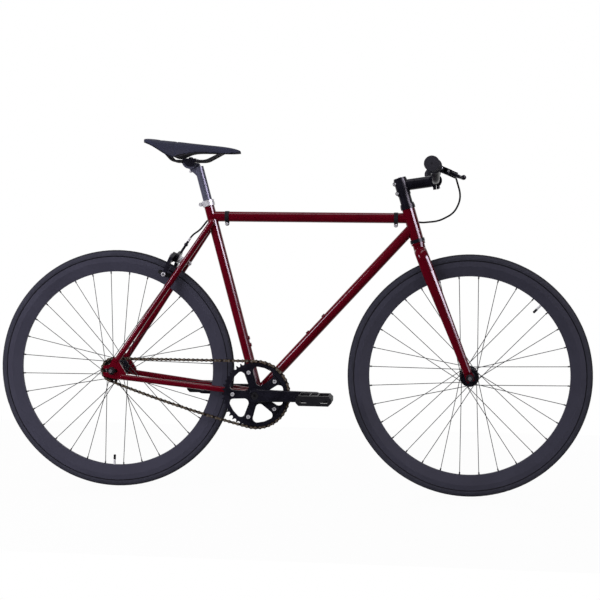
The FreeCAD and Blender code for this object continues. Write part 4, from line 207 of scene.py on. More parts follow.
class FittingSizes(bpy.types.PropertyGroup):
    """The sizes of the small pieces."""
    bolt_head: bpy.props.FloatProperty(
        name="Bolt head", description="Radius of the clamp bolts' heads", unit="LENGTH", default=0.0038)
    cap_radius: bpy.props.FloatProperty(
        name="Valve cap", description="Radius of a valve cap", unit="LENGTH", default=0.0036)
    wire: bpy.props.FloatProperty(
        name="Brake wire", description="Radius of the bare brake wire", unit="LENGTH", default=0.0008)
    seam: bpy.props.FloatProperty(
        name="Seam depth", description="How deep the saddle's two seams are drawn in",
        unit="LENGTH", default=0.002)
    cushion: bpy.props.FloatProperty(
        name="Cushion swell", description="How far the saddle's padding may swell",
        unit="LENGTH", default=0.003)


# Shader maths
class Value:
    """A number on a shader socket, which Python's arithmetic adds Math nodes to."""

    def __init__(self, finish, socket):
        self.finish = finish
        self.socket = socket

    def math(self, operation, *others):
        return self.finish.node("ShaderNodeMath", {"operation": operation}, dict(enumerate((self,) + others)))

    def __add__(self, other):
        return self.math("ADD", other)

    __radd__ = __add__

    def __mul__(self, other):
        return self.math("MULTIPLY", other)

    def __sub__(self, other):
        return self.math("SUBTRACT", other)

    def __rsub__(self, other):
        return self.math("MULTIPLY", -1.0).math("ADD", other)

    def __pow__(self, other):
        return self.math("POWER", other)

    def __abs__(self):
        return self.math("ABSOLUTE")

    def __gt__(self, other):
        return self.math("GREATER_THAN", other)

    def __lt__(self, other):
        return self.math("LESS_THAN", other)


class Finish:
    """A material or world under construction: one method makes every node."""

    def __init__(self, owner):
        self.owner = owner
        owner.use_nodes = True
        self.tree = owner.node_tree
        self.tree.nodes.clear()

    def node(self, kind, settings=None, inputs=None, output=0):
        made = self.tree.nodes.new(kind)
        for name, setting in (settings or {}).items():
            if name == "stops":
                ramp = made.color_ramp.elements
                while len(ramp) < len(setting):
                    ramp.new(0.5)
                for element, (position, shade) in zip(ramp, setting):
                    element.position = position
                    element.color = (shade, shade, shade, 1.0)
            else:
                setattr(made, name, setting)
        for key, given in (inputs or {}).items():
            if isinstance(given, Value):
                self.tree.links.new(given.socket, made.inputs[key])
            elif given is not None:
                made.inputs[key].default_value = given
        return Value(self, made.outputs[output]) if len(made.outputs) else None

    def place(self):
        return self.node("ShaderNodeTexCoord", output="Object")

    def axes(self, vector):
        split = self.node("ShaderNodeSeparateXYZ", None, {0: vector})
        return [Value(self, split.socket.node.outputs[i]) for i in range(3)]

    def noise(self, vector, scale, detail=3.0, roughness=0.55):
        inputs = {"Vector": vector, "Scale": scale, "Detail": detail, "Roughness": roughness}
        return self.node("ShaderNodeTexNoise", None, inputs)

    def cells(self, vector, scale):
        return self.node("ShaderNodeTexVoronoi", None, {"Vector": vector, "Scale": scale})

    def stretched(self, vector, scale):
        return self.node("ShaderNodeMapping", None, {"Vector": vector, "Scale": scale})

    def ramp(self, value, *stops):
        return self.node("ShaderNodeValToRGB", {"stops": stops}, {"Fac": value})

    def mix(self, mask, first, second):
        inputs = {0: mask, 6: opaque(first), 7: opaque(second)}
        return self.node("ShaderNodeMix", {"data_type": "RGBA"}, inputs, 2)

    def bump(self, height, depth, strength=1.0):
        return self.node("ShaderNodeBump", None, {"Height": height, "Distance": depth, "Strength": strength})

    def surface(self, inputs):
        shader = self.node("ShaderNodeBsdfPrincipled", None, inputs)
        self.node("ShaderNodeOutputMaterial", None, {"Surface": shader})
        return self.owner


def opaque(colour):
    return colour if isinstance(colour, Value) else (*colour, 1.0)


def shade(colour, factor):
    return tuple(min(part * factor, 1.0) for part in colour)


def finish(name):
    return Finish(bpy.data.materials.new(name))


def colours():
    return bpy.context.scene.bicycle_colours


def sizes():
    return bpy.context.scene.bicycle_fittings


# Finishes
def wheel_polar(f):
    """Distance from the axle, angle round it and distance across the wheel, for a point on either wheel."""
    x, y, z = f.axes(f.place())
    along = abs(x) - abs(AXLE_X)
    up = z - AXLE_Z
    radius = (along * along + up * up) ** 0.5
    return radius, up.math("ARCTAN2", along), y


def frame_paint():
    """Deep red gloss paint under clear lacquer, with the slight clouding of a sprayed coat."""
    f = finish("frame_paint")
    place = f.place()
    cloud = f.noise(place, 9.0, 2.0)
    depth = f.ramp(cloud, (0.35, 0.0), (0.65, 1.0))
    paint = f.mix(depth, shade(colours().paint, 0.88), shade(colours().paint, 1.12))
    return f.surface({
        "Base Color": paint, "Roughness": 0.34 + cloud * 0.06, "Specular IOR Level": 0.0,
        "Coat Weight": 0.94 + cloud * 0.06, "Coat Roughness": 0.13, "Coat IOR": 1.5})


def black_alloy():
    """Satin black anodising over fine blasting."""
    f = finish("black_alloy")
    place = f.place()
    grain = f.noise(place, 1400.0, 2.0)
    wear = f.noise(place, 30.0, 4.0)
    black = f.mix(f.ramp(wear, (0.4, 0.0), (0.75, 1.0)), colours().black, shade(colours().black, 1.9))
    return f.surface({
        "Base Color": black, "Roughness": 0.22 + wear * 0.10, "Specular IOR Level": 0.22,
        "Normal": f.bump(grain, 0.00006, 0.35)})


def rim_alloy():
    """Matt charcoal coating with fine turning rings that show faintly."""
    f = finish("rim_alloy")
    radius = wheel_polar(f)[0]
    place = f.place()
    cloud = f.noise(place, 14.0, 3.0)
    rings = (radius * 9000.0).math("SINE")
    tone = f.mix(cloud, shade(colours().rim, 0.86), shade(colours().rim, 1.14))
    return f.surface({
        "Base Color": tone, "Roughness": 0.46 + cloud * 0.1, "Specular IOR Level": 0.10,
        "Normal": f.bump(rings + f.noise(place, 900.0, 2.0) * 2.0, 0.000006, 0.2)})


def brushed(name, tone, roughness, stretch, bare, shine=0.5):
    """Metal with brush marks along one axis; bare is how far it mirrors, the rest is its pale oxide."""
    f = finish(name)
    marks = f.noise(f.stretched(f.place(), stretch), 60.0, 3.0)
    cloud = f.noise(f.place(), 25.0, 3.0)
    metal = f.mix(marks, shade(tone, 0.82), shade(tone, 1.1))
    return f.surface({
        "Base Color": metal, "Metallic": bare, "Roughness": roughness + marks * 0.12 + cloud * 0.08,
        "Specular IOR Level": shine, "Normal": f.bump(marks, 0.00003, 0.3)})


def silver_alloy():
    return brushed("silver_alloy", (0.10, 0.102, 0.145), 0.14, (12.0, 12.0, 1.0), 0.12, 0.22)


def steel():
    return brushed("steel", (0.25, 0.25, 0.26), 0.24, (1.0, 14.0, 1.0), 0.6)


def bright_steel():
    return brushed("bright_steel", (0.66, 0.66, 0.68), 0.20, (1.0, 14.0, 1.0), 0.2)


def black_steel():
    """Blackened steel wire and small black fasteners."""
    f = finish("black_steel")
    cloud = f.noise(f.place(), 180.0, 2.0)
    tone = f.mix(cloud, (0.012, 0.012, 0.014), (0.030, 0.030, 0.034))
    return f.surface({"Base Color": tone, "Metallic": 0.3, "Roughness": 0.32 + cloud * 0.2})


def chain_steel():
    """Bronze tinted outer plates over darker, oily rollers and teeth."""
    f = finish("chain_steel")
    place = f.place()
    grime = f.noise(place, 320.0, 4.0)
    streak = f.noise(place, 45.0, 2.0)
    side = abs(f.axes(place)[1] + CHAIN_LINE)
    dark = f.mix(streak, (0.020, 0.016, 0.015), (0.050, 0.040, 0.034))
    outer = f.mix(f.ramp(grime, (0.36, 0.0), (0.60, 1.0)), shade(colours().bronze, 0.55), colours().bronze)
    metal = f.mix(side > OUTER_PLATE, dark, outer)
    pin = f.mix(side > PIN_HEAD, metal, (0.42, 0.40, 0.38))
    return f.surface({
        "Base Color": pin, "Metallic": 0.8, "Roughness": 0.30 + grime * 0.22,
        "Normal": f.bump(grime, 0.00005, 0.4)})


def tyre_rubber():
    """Tread blocks of fine diagonal grooves on the crown and smooth side walls with moulded rings, with
    painted shade in the grooves, just above the rim and towards the shoulder.
    """
    f = finish("tyre_rubber")
    radius, angle, across = wheel_polar(f)
    crown = f.ramp(abs(across) * 100.0, (0.55, 1.0), (0.75, 0.0))
    grooves = ((angle * 260.0 + abs(across) * 900.0).math("SINE") > 0.72) * crown
    centre = (abs(across) < 0.0007) * 1.0
    wall = ((radius * 2600.0).math("SINE") > 0.93) * (1.0 - crown)
    dust = f.noise(f.place(), 40.0, 4.0)
    tone = f.mix(dust, shade(colours().rubber, 0.8), shade(colours().rubber, 1.25))
    height = (radius - RIM_EDGE) * 50.0
    # Painted shade: the rubber is darkened just above the rim and again towards the shoulder.
    shadow = f.ramp(height, (0.08, 1.0), (0.17, 0.0), (0.68, 0.0), (0.90, 0.75))
    rim_and_shoulder_shade = f.mix(shadow, tone, shade(colours().rubber, 0.14))
    # Painted shade: the tread grooves are darker than the blocks.
    shaded_rubber = f.mix(grooves * 0.7, rim_and_shoulder_shade, shade(colours().rubber, 0.35))
    relief = wall * 0.4 - grooves - centre * 0.6 + f.noise(f.place(), 1500.0, 2.0) * 0.12
    return f.surface({
        "Base Color": shaded_rubber, "Roughness": 0.58 + dust * 0.2, "Specular IOR Level": 0.08,
        "Normal": f.bump(relief, 0.0006, 0.7)})


def tube_rubber():
    """Plain black tube, matt with a little bloom, and the bare metal of its valve inside the rim."""
    f = finish("tube_rubber")
    radius = wheel_polar(f)[0]
    bloom = f.noise(f.place(), 70.0, 3.0)
    tone = f.mix(bloom, (0.014, 0.014, 0.016), (0.03, 0.03, 0.032))
    valve = f.mix(radius < RIM_EDGE - VALVE_HIDDEN, tone, (0.72, 0.72, 0.74))
    return f.surface({"Base Color": valve, "Roughness": 0.4 + bloom * 0.2})


def moulded(name, low, high, roughness, grain):
    """Moulded plastic or rubber with a fine spark texture."""
    f = finish(name)
    spark = f.cells(f.place(), grain)
    cloud = f.noise(f.place(), 35.0, 3.0)
    return f.surface({
        "Base Color": f.mix(cloud, low, high), "Roughness": roughness + cloud * 0.12,
        "Specular IOR Level": 0.12, "Normal": f.bump(spark, 0.00008, 0.35)})


def black_plastic():
    return moulded("black_plastic", (0.010, 0.010, 0.012), (0.020, 0.020, 0.024), 0.42, 900.0)


def grip_rubber():
    return moulded("grip_rubber", (0.022, 0.022, 0.029), (0.036, 0.036, 0.045), 0.62, 1100.0)


def pad_rubber():
    return moulded("pad_rubber", (0.012, 0.012, 0.013), (0.024, 0.024, 0.026), 0.66, 700.0)


def cable_housing():
    return moulded("cable_housing", (0.008, 0.008, 0.010), (0.016, 0.016, 0.019), 0.36, 1500.0)


def saddle_cover_leather():
    """Fine grained synthetic leather: small cells with painted shade in the creases between them, over a dark
    hem.
    """
    f = finish("saddle_cover")
    place = f.place()
    grain = f.cells(place, 520.0)
    fine = f.noise(place, 1300.0, 2.0)
    polish = f.noise(place, 12.0, 2.0)
    tone = f.mix(polish, shade(colours().cover, 0.85), shade(colours().cover, 1.3))
    # Painted shade: the creases between the grain cells are darker.
    crease_shaded = f.mix(f.ramp(grain, (0.0, 0.0), (0.5, 0.35)), tone, shade(colours().cover, 0.6))
    x, _, z = f.axes(place)
    hem = SADDLE_HEM_Z - (SADDLE_HEM_X - x).math("MAXIMUM", 0.0) * SADDLE_HEM_SLOPE
    hemmed = f.mix(z < hem, crease_shaded, (0.006, 0.006, 0.009))
    return f.surface({
        "Base Color": hemmed, "Roughness": 0.56 + polish * 0.14, "Specular IOR Level": 0.12,
        "Normal": f.bump(grain * -1.0 + fine * 0.3, 0.00025, 0.22)})


FINISHES = {
    "frame_paint": frame_paint, "black_alloy": black_alloy, "rim_alloy": rim_alloy,
    "silver_alloy": silver_alloy, "steel": steel, "bright_steel": bright_steel, "black_steel": black_steel,
    "chain_steel": chain_steel, "tyre_rubber": tyre_rubber, "tube_rubber": tube_rubber,
    "black_plastic": black_plastic, "grip_rubber": grip_rubber, "pad_rubber": pad_rubber,
    "cable_housing": cable_housing, "saddle_cover": saddle_cover_leather,
}

# Nodes that are brighter, or darker, than the rest of their slot
LOOKS = {
    "seat_collar": "bright_steel", "seat_collar_bolt": "bright_steel", "brake_bolt": "bright_steel",
    "chainring_bolts": "bright_steel", "crank_bolts": "black_steel", "front_axle_nuts": "black_steel",
    "rear_axle_nuts": "black_steel", "front_spokes": "black_steel", "rear_spokes": "black_steel",
}


def material(slot):
    """The finish of that slot, made the first time it is asked for."""
    return bpy.data.materials.get(slot + ".bicycle") or named(FINISHES[slot](), slot + ".bicycle")


def named(thing, name):
    thing.name = name
    return thing


# Modelling
def in_edit(piece, *steps):
    """Runs modelling steps on the whole of a piece in edit mode."""
    bpy.ops.object.select_all(action="DESELECT")
    piece.select_set(True)
    bpy.context.view_layer.objects.active = piece
    bpy.ops.object.mode_set(mode="EDIT")
    bpy.ops.mesh.select_all(action="SELECT")
    for step in steps:
        step()
    bpy.ops.object.mode_set(mode="OBJECT")


def turned(name, profile, sides=24):
    """A closed round piece along z, drawn out of a disc ring by ring; profile lists (height, radius)."""
    bpy.ops.object.select_all(action="DESELECT")
    start, radius = profile[0]
    bpy.ops.mesh.primitive_circle_add(vertices=sides, radius=radius, fill_type="NGON", location=(0, 0, 0))
    piece = named(bpy.context.object, name)
    bpy.ops.object.mode_set(mode="EDIT")
    height = start
    for station, ring in profile[1:]:
        bpy.ops.mesh.extrude_region_move(TRANSFORM_OT_translate={"value": (0, 0, station - height)})
        scale = ring / radius
        bpy.ops.transform.resize(value=(scale, scale, scale), center_override=(0, 0, station - start))
        height, radius = station, ring
    bpy.ops.mesh.select_all(action="SELECT")
    bpy.ops.mesh.normals_make_consistent(inside=False)
    bpy.ops.object.mode_set(mode="OBJECT")
    piece.data.transform(Matrix.Translation((0, 0, start)))
    bpy.ops.object.shade_smooth_by_angle(angle=SMOOTH_ANGLE)
    return piece


def hex_socket(piece, top, radius, depth):
    """Cuts a key socket into the top of a bolt."""
    bpy.ops.object.select_all(action="DESELECT")
    bpy.ops.mesh.primitive_cylinder_add(vertices=6, radius=radius, depth=depth * 2, location=(0, 0, top))
    key = bpy.context.object
    cut = piece.modifiers.new("socket", "BOOLEAN")
    cut.object = key
    cut.operation = "DIFFERENCE"
    bpy.context.view_layer.objects.active = piece
    bpy.ops.object.modifier_apply(modifier=cut.name)
    bpy.data.objects.remove(key)


def socket_bolt(name, radius, height):
    """A cap head with rounded edges and a key socket, standing on z = 0."""
    edge = radius * 0.2
    rounding = [(height - edge, radius), (height - edge * 0.3, radius - edge * 0.4), (height, radius - edge)]
    bolt = turned(name, [(-0.0005, radius), *rounding], 28)
    hex_socket(bolt, height, radius * 0.55, height * 0.6)
    return bolt


def copied(piece, name):
    twin = piece.copy()
    twin.data = piece.data.copy()
    twin.name = name
    bpy.context.scene.collection.objects.link(twin)
    return twin


def put(piece, origin, way):
    """Moves a piece's mesh from z = 0 to a point, with its z along a direction."""
    turn = Vector((0, 0, 1)).rotation_difference(Vector(way).normalized()).to_matrix().to_4x4()
    piece.data.transform(Matrix.Translation(origin) @ turn)
    return piece


def dress(piece, slot, *replaced, look=None):
    """Gives a finished piece its material and hides the nodes that it replaces."""
    piece.data.materials.clear()
    piece.data.materials.append(material(look or slot))
    if replaced:
        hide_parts(*replaced)
    return piece


def settle(piece, body, slot, *replaced, look=None):
    """Dresses a finished piece and makes it move with a body."""
    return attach(dress(piece, slot, *replaced, look=look), body)


def solid_copy(node, name):
    """A free copy of a solid's mesh, with its loose triangles merged."""
    piece = copied(nodes[node], name)
    piece.parent = None
    for key in list(piece.keys()):
        del piece[key]
    in_edit(piece, lambda: bpy.ops.mesh.remove_doubles(threshold=MERGE_DISTANCE))
    return piece


def joined(name, pieces):
    """Several finished meshes as one object."""
    bpy.ops.object.select_all(action="DESELECT")
    for piece in pieces:
        piece.select_set(True)
    bpy.context.view_layer.objects.active = pieces[0]
    if len(pieces) > 1:
        bpy.ops.object.join()
    return named(bpy.context.view_layer.objects.active, name)


# Places on the bicycle
def on_steering(distance):
    return STEER_FOOT + STEER_WAY * distance


def at_caliper(left, back, up):
    return CALIPER_ORIGIN + Vector((0, left, 0)) + BOLT_WAY * back + CALIPER_UP * up


def mirrored(point):
    return Vector((point.x, -point.y, point.z))


class BICYCLE_OT_finishes(bpy.types.Operator):
    """Gives every solid of the bicycle its finish"""
    bl_idname = "bicycle.finishes"
    bl_label = "Finishes"

    def execute(self, context):
        for row in frame["record"]["subparts"]:
            mesh = nodes[row["node"]].data
            if not mesh.materials:
                mesh.materials.append(None)
            look = LOOKS.get(row["node"], row["material_slot"])
            for slot in nodes[row["node"]].material_slots:
                slot.material = material(look)
        return {"FINISHED"}


class BICYCLE_OT_saddle(bpy.types.Operator):
    """Makes the saddle's padded cover by swelling its foam a little under the leather"""
    bl_idname = "bicycle.saddle"
    bl_label = "Saddle cover"

    def execute(self, context):
        cover = solid_copy("saddle_pad", "saddle_cover")
        cover.data.remesh_voxel_size = SADDLE_VOXEL
        bpy.ops.object.voxel_remesh()
        relax = cover.modifiers.new("relax", "SMOOTH")
        relax.factor = 0.5
        relax.iterations = 4
        bpy.ops.object.modifier_apply(modifier=relax.name)
        self.swell(cover, sizes().cushion)
        self.seam(cover, sizes().seam)
        finer = cover.modifiers.new("finer", "SUBSURF")
        finer.levels = 1
        finer.render_levels = 1
        bpy.ops.object.modifier_apply(modifier=finer.name)
        bpy.ops.object.shade_smooth()
        settle(cover, "saddle", "saddle_cover", "saddle_pad")
        return {"FINISHED"}

    @staticmethod
    def seam(cover, depth):
        """Draws the cover in along the two seams that cross it."""
        line = cover.vertex_groups.new(name="seams")
        for vertex in cover.data.vertices:
            away = min(abs(vertex.co.x - seam) for seam in SADDLE_SEAMS)
            if away < SEAM_REACH and vertex.normal.z > 0.0:
                line.add([vertex.index], (1 - away / SEAM_REACH) ** 2, "REPLACE")
        sink = cover.modifiers.new("sink", "DISPLACE")
        sink.vertex_group = line.name
        sink.strength = -depth
        sink.mid_level = 0.0
        bpy.ops.object.modifier_apply(modifier=sink.name)

    @staticmethod
    def swell(cover, most):
        """Runs the cloth under light pressure, with the underside held, and caps how far it moves."""
        rest = [v.co.copy() for v in cover.data.vertices]
        held = cover.vertex_groups.new(name="underside")
        held.add([v.index for v in cover.data.vertices if v.normal.z < 0.15], 1.0, "REPLACE")
        cloth = cover.modifiers.new("cloth", "CLOTH")
        cloth.settings.vertex_group_mass = held.name
        cloth.settings.use_pressure = True
        cloth.settings.uniform_pressure_force = CLOTH_PRESSURE
        cloth.settings.effector_weights.gravity = 0.0
        scene = bpy.context.scene
        for step in range(1, CLOTH_STEPS + 1):
            scene.frame_set(step)
        swollen = cover.evaluated_get(bpy.context.evaluated_depsgraph_get()).to_mesh()
        moved = [v.co.copy() for v in swollen.vertices]
        cover.modifiers.remove(cloth)
        for vertex, old, new in zip(cover.data.vertices, rest, moved):
            move = new - old
            vertex.co = old + move * min(1.0, most / max(move.length, 1e-9))
        scene.frame_set(1)


class BICYCLE_OT_grips(bpy.types.Operator):
    """Makes the two rubber grips with their flanges and ribs"""
    bl_idname = "bicycle.grips"
    bl_label = "Grips"

    def execute(self, context):
        right = turned("grip_right", self.outer_end() + self.ribs() + self.inner_end(), 48)
        left = copied(right, "grip_left")
        start = BAR_END - BAR_INWARD * GRIP_OVERHANG
        put(right, start, BAR_INWARD)
        put(left, mirrored(start), mirrored(BAR_INWARD))
        for grip in (right, left):
            settle(grip, "steering", "grip_rubber", "grips")
        return {"FINISHED"}

    @staticmethod
    def outer_end():
        """The outline of the closed end, with the dimple in its middle, as (along, radius)."""
        dimple = [(0.0016, 0.0016), (0.0, 0.0022)]
        edge = [(0.0, GRIP_FLANGE - 0.0012), (0.0008, GRIP_FLANGE - 0.0002), (0.0020, GRIP_FLANGE)]
        foot = [(0.0034, GRIP_FLANGE - 0.0004), (0.0044, GRIP_RADIUS + 0.0012), (GRIP_RIBS_FROM, GRIP_RADIUS)]
        return dimple + edge + foot

    @staticmethod
    def ribs():
        outline = []
        pitch = (GRIP_LENGTH - GRIP_RIBS_FROM - GRIP_RIBS_SHORT) / GRIP_RIBS
        groove = GRIP_RADIUS - GRIP_RIB_DEPTH
        for rib in range(GRIP_RIBS):
            foot = GRIP_RIBS_FROM + rib * pitch
            outline += [(foot + pitch * 0.25, groove), (foot + pitch * 0.45, groove)]
            outline += [(foot + pitch * 0.65, GRIP_RADIUS), (foot + pitch, GRIP_RADIUS)]
        return outline

    @staticmethod
    def inner_end():
        rise = [(GRIP_LENGTH - 0.0050, GRIP_RADIUS + 0.001), (GRIP_LENGTH - 0.0042, GRIP_FLANGE - 0.0006)]
        edge = [(GRIP_LENGTH - 0.0034, GRIP_FLANGE), (GRIP_LENGTH - 0.0010, GRIP_FLANGE)]
        face = [(GRIP_LENGTH, GRIP_FLANGE - 0.0010), (GRIP_LENGTH, GRIP_RADIUS - 0.004)]
        return rise + edge + face


class BICYCLE_OT_stem_bolts(bpy.types.Operator):
    """Adds the stem's pinch bolts, the faceplate's bolts and the top cap's bolt"""
    bl_idname = "bicycle.stem_bolts"
    bl_label = "Stem bolts"

    def execute(self, context):
        head = sizes().bolt_head
        bolts = []
        for rise in PINCH_RISES:
            ear = on_steering(STEM_BASE + rise) + STEER_BACK * PINCH_BACK
            bolts.append(put(socket_bolt("pinch", head, 0.004), ear + RIGHT * PINCH_SIDE, RIGHT))
        plate = BAR_CENTRE + STEM_WAY * PLATE_BOLT_FRONT
        for up in (PLATE_BOLT_RISE, -PLATE_BOLT_RISE):
            for side in (-PLATE_BOLT_SIDE, PLATE_BOLT_SIDE):
                ear = plate + STEM_UP * up + RIGHT * side
                bolts.append(put(socket_bolt("faceplate", head * 0.85, 0.0035), ear, STEM_WAY))
        bolts.append(put(socket_bolt("cap", head * 1.2, 0.002), on_steering(STEM_TOP), STEER_WAY))
        settle(joined("stem_bolts", bolts), "steering", "steel", look="bright_steel")
        return {"FINISHED"}


class BICYCLE_OT_valve_caps(bpy.types.Operator):
    """Adds a ribbed cap to each valve"""
    bl_idname = "bicycle.valve_caps"
    bl_label = "Valve caps"

    def execute(self, context):
        for name, side, angle in (("front", 1, FRONT_VALVE_ANGLE), ("rear", -1, REAR_VALVE_ANGLE)):
            turn = math.radians(angle)
            out = Vector((math.cos(turn), 0, math.sin(turn)))
            axle = Vector((side * abs(AXLE_X), 0, AXLE_Z))
            cap = turned(name + "_valve_cap", self.outline(sizes().cap_radius), 20)
            put(cap, axle + out * (RIM_EDGE - RIM_DEPTH - VALVE_CAP_DROP), -out)
            settle(cap, name + "_wheel", "black_plastic")
        return {"FINISHED"}

    @staticmethod
    def outline(radius):
        """The cap's ribbed outline, as (height, radius)."""
        neck = radius * 0.9
        points = [(0.0, neck), (0.001, radius)]
        for ring in range(VALVE_CAP_RINGS):
            foot = 0.002 + ring * VALVE_CAP_PITCH
            points += [(foot, radius), (foot + 0.0004, neck), (foot + 0.0008, neck), (foot + 0.0012, radius)]
        return points + [(0.0115, radius), (0.0130, radius * 0.7), (0.0135, radius * 0.3)]


def fasteners(name, body, places):
    """Key socket screws as one piece; places lists (point, direction, radius, height)."""
    screws = [put(socket_bolt(name, radius, height), point, way) for point, way, radius, height in places]
    return settle(joined(name, screws), body, "steel", look="bright_steel")


class BICYCLE_OT_screws(bpy.types.Operator):
    """Adds the screws of the cable clips, the brake lever, the seatpost head and the brake pads"""
    bl_idname = "bicycle.screws"
    bl_label = "Small screws"

    def execute(self, context):
        clips = [Vector((x, CLIP_SCREW_Y, CLIP_SCREW_Z)) for x in (FRONT_CLIP_X, REAR_CLIP_X)]
        fasteners("clip_screws", "frame", [(seat, RIGHT, 0.0042, 0.0018) for seat in clips])
        fasteners("lever_screws", "steering", [
            (LEVER_FACE + LEVER_REACH * reach, RIGHT, radius, 0.0015) for reach, radius in LEVER_SCREWS])
        shank = [(-0.002, 0.0026), (0.009, 0.0026)]
        bolt = turned("post_bolt", shank + [(0.009, 0.0044), (0.0135, 0.0044), (0.0145, 0.0036)])
        settle(put(bolt, POST_BOLT_SEAT, POST_BOLT_WAY), "seatpost", "steel", look="bright_steel")
        for name, side, back in (("left", 1, LEFT_PAD_BACK), ("right", -1, RIGHT_PAD_BACK)):
            seat = at_caliper(side * PAD_NUT_SIDE, back, -PAD_NUT_DROP)
            fasteners("pad_nut_" + name, "caliper_" + name, [(seat, RIGHT * -side, 0.0058, 0.0072)])
        fasteners("cable_anchor", "caliper_right", [(at_caliper(*WIRE_ANCHOR), BOLT_WAY, 0.0048, 0.004)])
        return {"FINISHED"}


class BICYCLE_OT_brake_cable(bpy.types.Operator):
    """Makes the cable housing in two lengths, cut in the rear clip"""
    bl_idname = "bicycle.brake_cable"
    bl_label = "Brake cable"

    def execute(self, context):
        front = self.length("brake_cable_front", True)
        rear = self.length("brake_cable_rear", False)
        for housing in (front, rear):
            dress(housing, "cable_housing", "brake_cable")
        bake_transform(front)
        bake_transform(rear)
        return {"FINISHED"}

    @staticmethod
    def length(name, front):
        """The housing in front of the rear clip, or behind it."""
        housing = solid_copy("brake_cable", name)
        in_edit(housing, lambda: bpy.ops.mesh.bisect(
            plane_co=(REAR_CLIP_X, 0, 0), plane_no=(1, 0, 0), use_fill=True,
            clear_inner=front, clear_outer=not front))
        bpy.ops.object.shade_smooth_by_angle(angle=SMOOTH_ANGLE)
        return housing


class BICYCLE_OT_brake_wire(bpy.types.Operator):
    """Adds the bare wire below the adjuster, its end cap and the ferrule on the housing"""
    bl_idname = "bicycle.brake_wire"
    bl_label = "Brake wire"

    def execute(self, context):
        way = CALIPER_UP * math.cos(ADJUSTER_LEAN) - BOLT_WAY * math.sin(ADJUSTER_LEAN)
        foot = at_caliper(*ADJUSTER_FOOT)
        sleeve = [(-0.001, 0.0032), (0.006, 0.0034), (0.0062, 0.0030), (0.012, 0.0030), (0.0125, 0.0027)]
        ferrule = put(turned("ferrule", sleeve), foot + way * ADJUSTER_LENGTH, way)
        settle(ferrule, "caliper_left", "steel", look="bright_steel")
        route = [foot - way * WIRE_START, *(at_caliper(*point) for point in WIRE_ROUTE)]
        settle(self.wire(route), "caliper_left", "steel")
        crimp = turned("wire_cap", [(-0.001, 0.0011), (0.0, 0.0015), (0.008, 0.0015), (0.0095, 0.0006)], 16)
        settle(put(crimp, route[-1], route[-1] - route[-2]), "caliper_left", "silver_alloy")
        return {"FINISHED"}

    @staticmethod
    def wire(route):
        """A round wire along a smooth line that the route's points pull."""
        line = bpy.data.curves.new("brake_wire", "CURVE")
        line.dimensions = "3D"
        line.bevel_depth = sizes().wire
        line.bevel_resolution = 3
        line.use_fill_caps = True
        spline = line.splines.new("NURBS")
        spline.points.add(len(route) - 1)
        for point, place in zip(spline.points, route):
            point.co = (*place, 1.0)
        spline.order_u = 3
        spline.use_endpoint_u = True
        wire = bpy.data.objects.new("brake_wire", line)
        bpy.context.scene.collection.objects.link(wire)
        bpy.ops.object.select_all(action="DESELECT")
        wire.select_set(True)
        bpy.context.view_layer.objects.active = wire
        bpy.ops.object.convert(target="MESH")
        return named(bpy.context.object, "brake_wire")


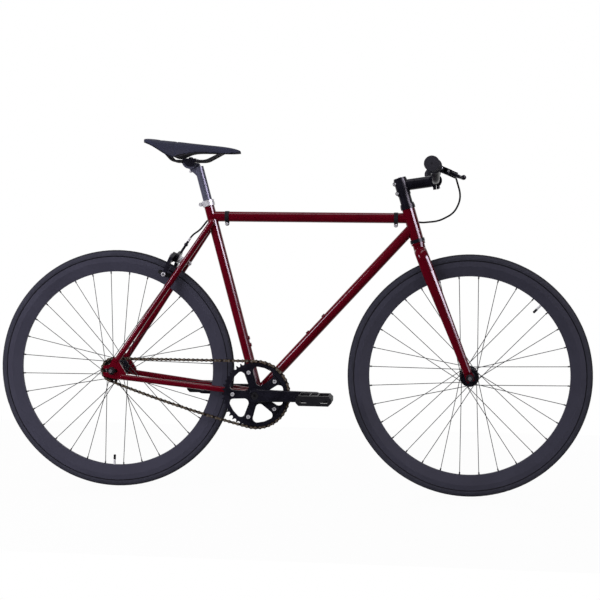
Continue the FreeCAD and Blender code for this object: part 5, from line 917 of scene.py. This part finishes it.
class BICYCLE_OT_stage(bpy.types.Operator):
    """Sets the white studio, its lamps and the camera"""
    bl_idname = "bicycle.stage"
    bl_label = "Stage"

    def execute(self, context):
        self.floor()
        self.world(context.scene)
        self.lamps()
        self.camera(context.scene)
        context.scene.view_settings.view_transform = "Standard"
        return {"FINISHED"}

    @staticmethod
    def floor():
        bpy.ops.object.select_all(action="DESELECT")
        bpy.ops.mesh.primitive_plane_add(size=1.0, location=FLOOR_CENTRE)
        floor = named(bpy.context.object, "floor")
        floor.scale = FLOOR_SIZE
        bpy.ops.object.transform_apply(location=True, scale=True)
        f = finish("studio_floor")
        mottle = f.noise(f.place(), 3.0, 2.0)
        tone = f.mix(mottle, (0.54, 0.54, 0.54), (0.58, 0.58, 0.58))
        cloth = f.node("ShaderNodeBsdfDiffuse", None, {"Color": tone})
        white = f.node("ShaderNodeEmission", None, {"Strength": 1.0})
        seen = f.node("ShaderNodeLightPath", output="Is Camera Ray")
        mixed = f.node("ShaderNodeMixShader", None, {0: seen * FLOOR_WHITENESS, 1: cloth, 2: white})
        f.node("ShaderNodeOutputMaterial", None, {"Surface": mixed})
        floor.data.materials.append(f.owner)
        floor.visible_glossy = False

    @staticmethod
    def world(scene):
        scene.world = scene.world or bpy.data.worlds.new("studio")
        f = Finish(scene.world)
        _, y, z = f.axes(f.node("ShaderNodeTexCoord", output="Generated"))
        behind = f.ramp(y * 0.5 + 0.5, (0.55, 0.0), (0.92, 1.0))
        camera = f.node("ShaderNodeLightPath", output="Is Camera Ray")
        rays = camera.socket.node.outputs
        mirror = Value(f, rays["Is Glossy Ray"])
        through = Value(f, rays["Is Transmission Ray"])
        overhead = f.ramp(z * 0.5 + 0.5, (0.25, 0.08), (0.85, 0.62))
        ambient = overhead * (1.0 - mirror)
        light = (camera + through + mirror * behind).math("MAXIMUM", ambient)
        strength = light.math("MINIMUM", 1.0)
        back = f.node("ShaderNodeBackground", None, {"Color": (1.0, 1.0, 1.0, 1.0), "Strength": strength})
        f.node("ShaderNodeOutputWorld", None, {"Surface": back})

    @staticmethod
    def lamps():
        for name, watts, wide, high, place, colour, seen_by in LAMPS:
            lamp = bpy.data.lights.new(name, "AREA")
            lamp.shape = "RECTANGLE"
            lamp.energy = watts
            lamp.color = colour
            lamp.size = wide
            lamp.size_y = high
            holder = bpy.data.objects.new(name, lamp)
            holder.location = place
            holder.rotation_euler = (LAMP_AIM - Vector(place)).to_track_quat("-Z", "Y").to_euler()
            holder.visible_camera = False
            holder.visible_diffuse = seen_by != "mirror"
            holder.visible_glossy = seen_by != "matt"
            bpy.context.scene.collection.objects.link(holder)

    @staticmethod
    def camera(scene):
        ahead = math.cos(CAMERA_PITCH)
        forward = Vector((math.sin(CAMERA_YAW) * ahead, math.cos(CAMERA_YAW) * ahead, math.sin(CAMERA_PITCH)))
        right = Vector((math.cos(CAMERA_YAW), -math.sin(CAMERA_YAW), 0.0))
        up = right.cross(forward)
        level = right * math.cos(CAMERA_ROLL) + up * math.sin(CAMERA_ROLL)
        rise = up * math.cos(CAMERA_ROLL) - right * math.sin(CAMERA_ROLL)
        camera = bpy.data.objects.new("camera", bpy.data.cameras.new("camera"))
        camera.data.sensor_width = SENSOR_WIDTH
        camera.data.lens = SENSOR_WIDTH * LENS_PIXELS / IMAGE_PIXELS
        camera.rotation_euler = Matrix((level, rise, -forward)).transposed().to_euler()
        camera.location = CAMERA_PLACE
        scene.collection.objects.link(camera)
        scene.camera = camera


class BICYCLE_PT_panel(bpy.types.Panel):
    """The bicycle's pieces, in the order in which they are made"""
    bl_idname = "BICYCLE_PT_panel"
    bl_label = "Bicycle"
    bl_space_type = "VIEW_3D"
    bl_region_type = "UI"
    bl_category = "Bicycle"

    def draw(self, context):
        for group in (context.scene.bicycle_colours, context.scene.bicycle_fittings):
            for name in group.__annotations__:
                self.layout.prop(group, name)
        for operator in OPERATORS:
            self.layout.operator(operator.bl_idname)


OPERATORS = (
    BICYCLE_OT_stage, BICYCLE_OT_finishes, BICYCLE_OT_saddle, BICYCLE_OT_grips, BICYCLE_OT_stem_bolts,
    BICYCLE_OT_valve_caps, BICYCLE_OT_screws, BICYCLE_OT_brake_cable, BICYCLE_OT_brake_wire)
CLASSES = (FinishColours, FittingSizes, *OPERATORS, BICYCLE_PT_panel)


def register():
    for cls in CLASSES:
        bpy.utils.register_class(cls)
    bpy.types.Scene.bicycle_colours = bpy.props.PointerProperty(type=FinishColours)
    bpy.types.Scene.bicycle_fittings = bpy.props.PointerProperty(type=FittingSizes)


def unregister():
    del bpy.types.Scene.bicycle_fittings
    del bpy.types.Scene.bicycle_colours
    for cls in reversed(CLASSES):
        bpy.utils.unregister_class(cls)


def main():
    register()
    for operator in OPERATORS:
        group, name = operator.bl_idname.split(".")
        getattr(getattr(bpy.ops, group), name)()


if __name__ == "__main__":
    main()
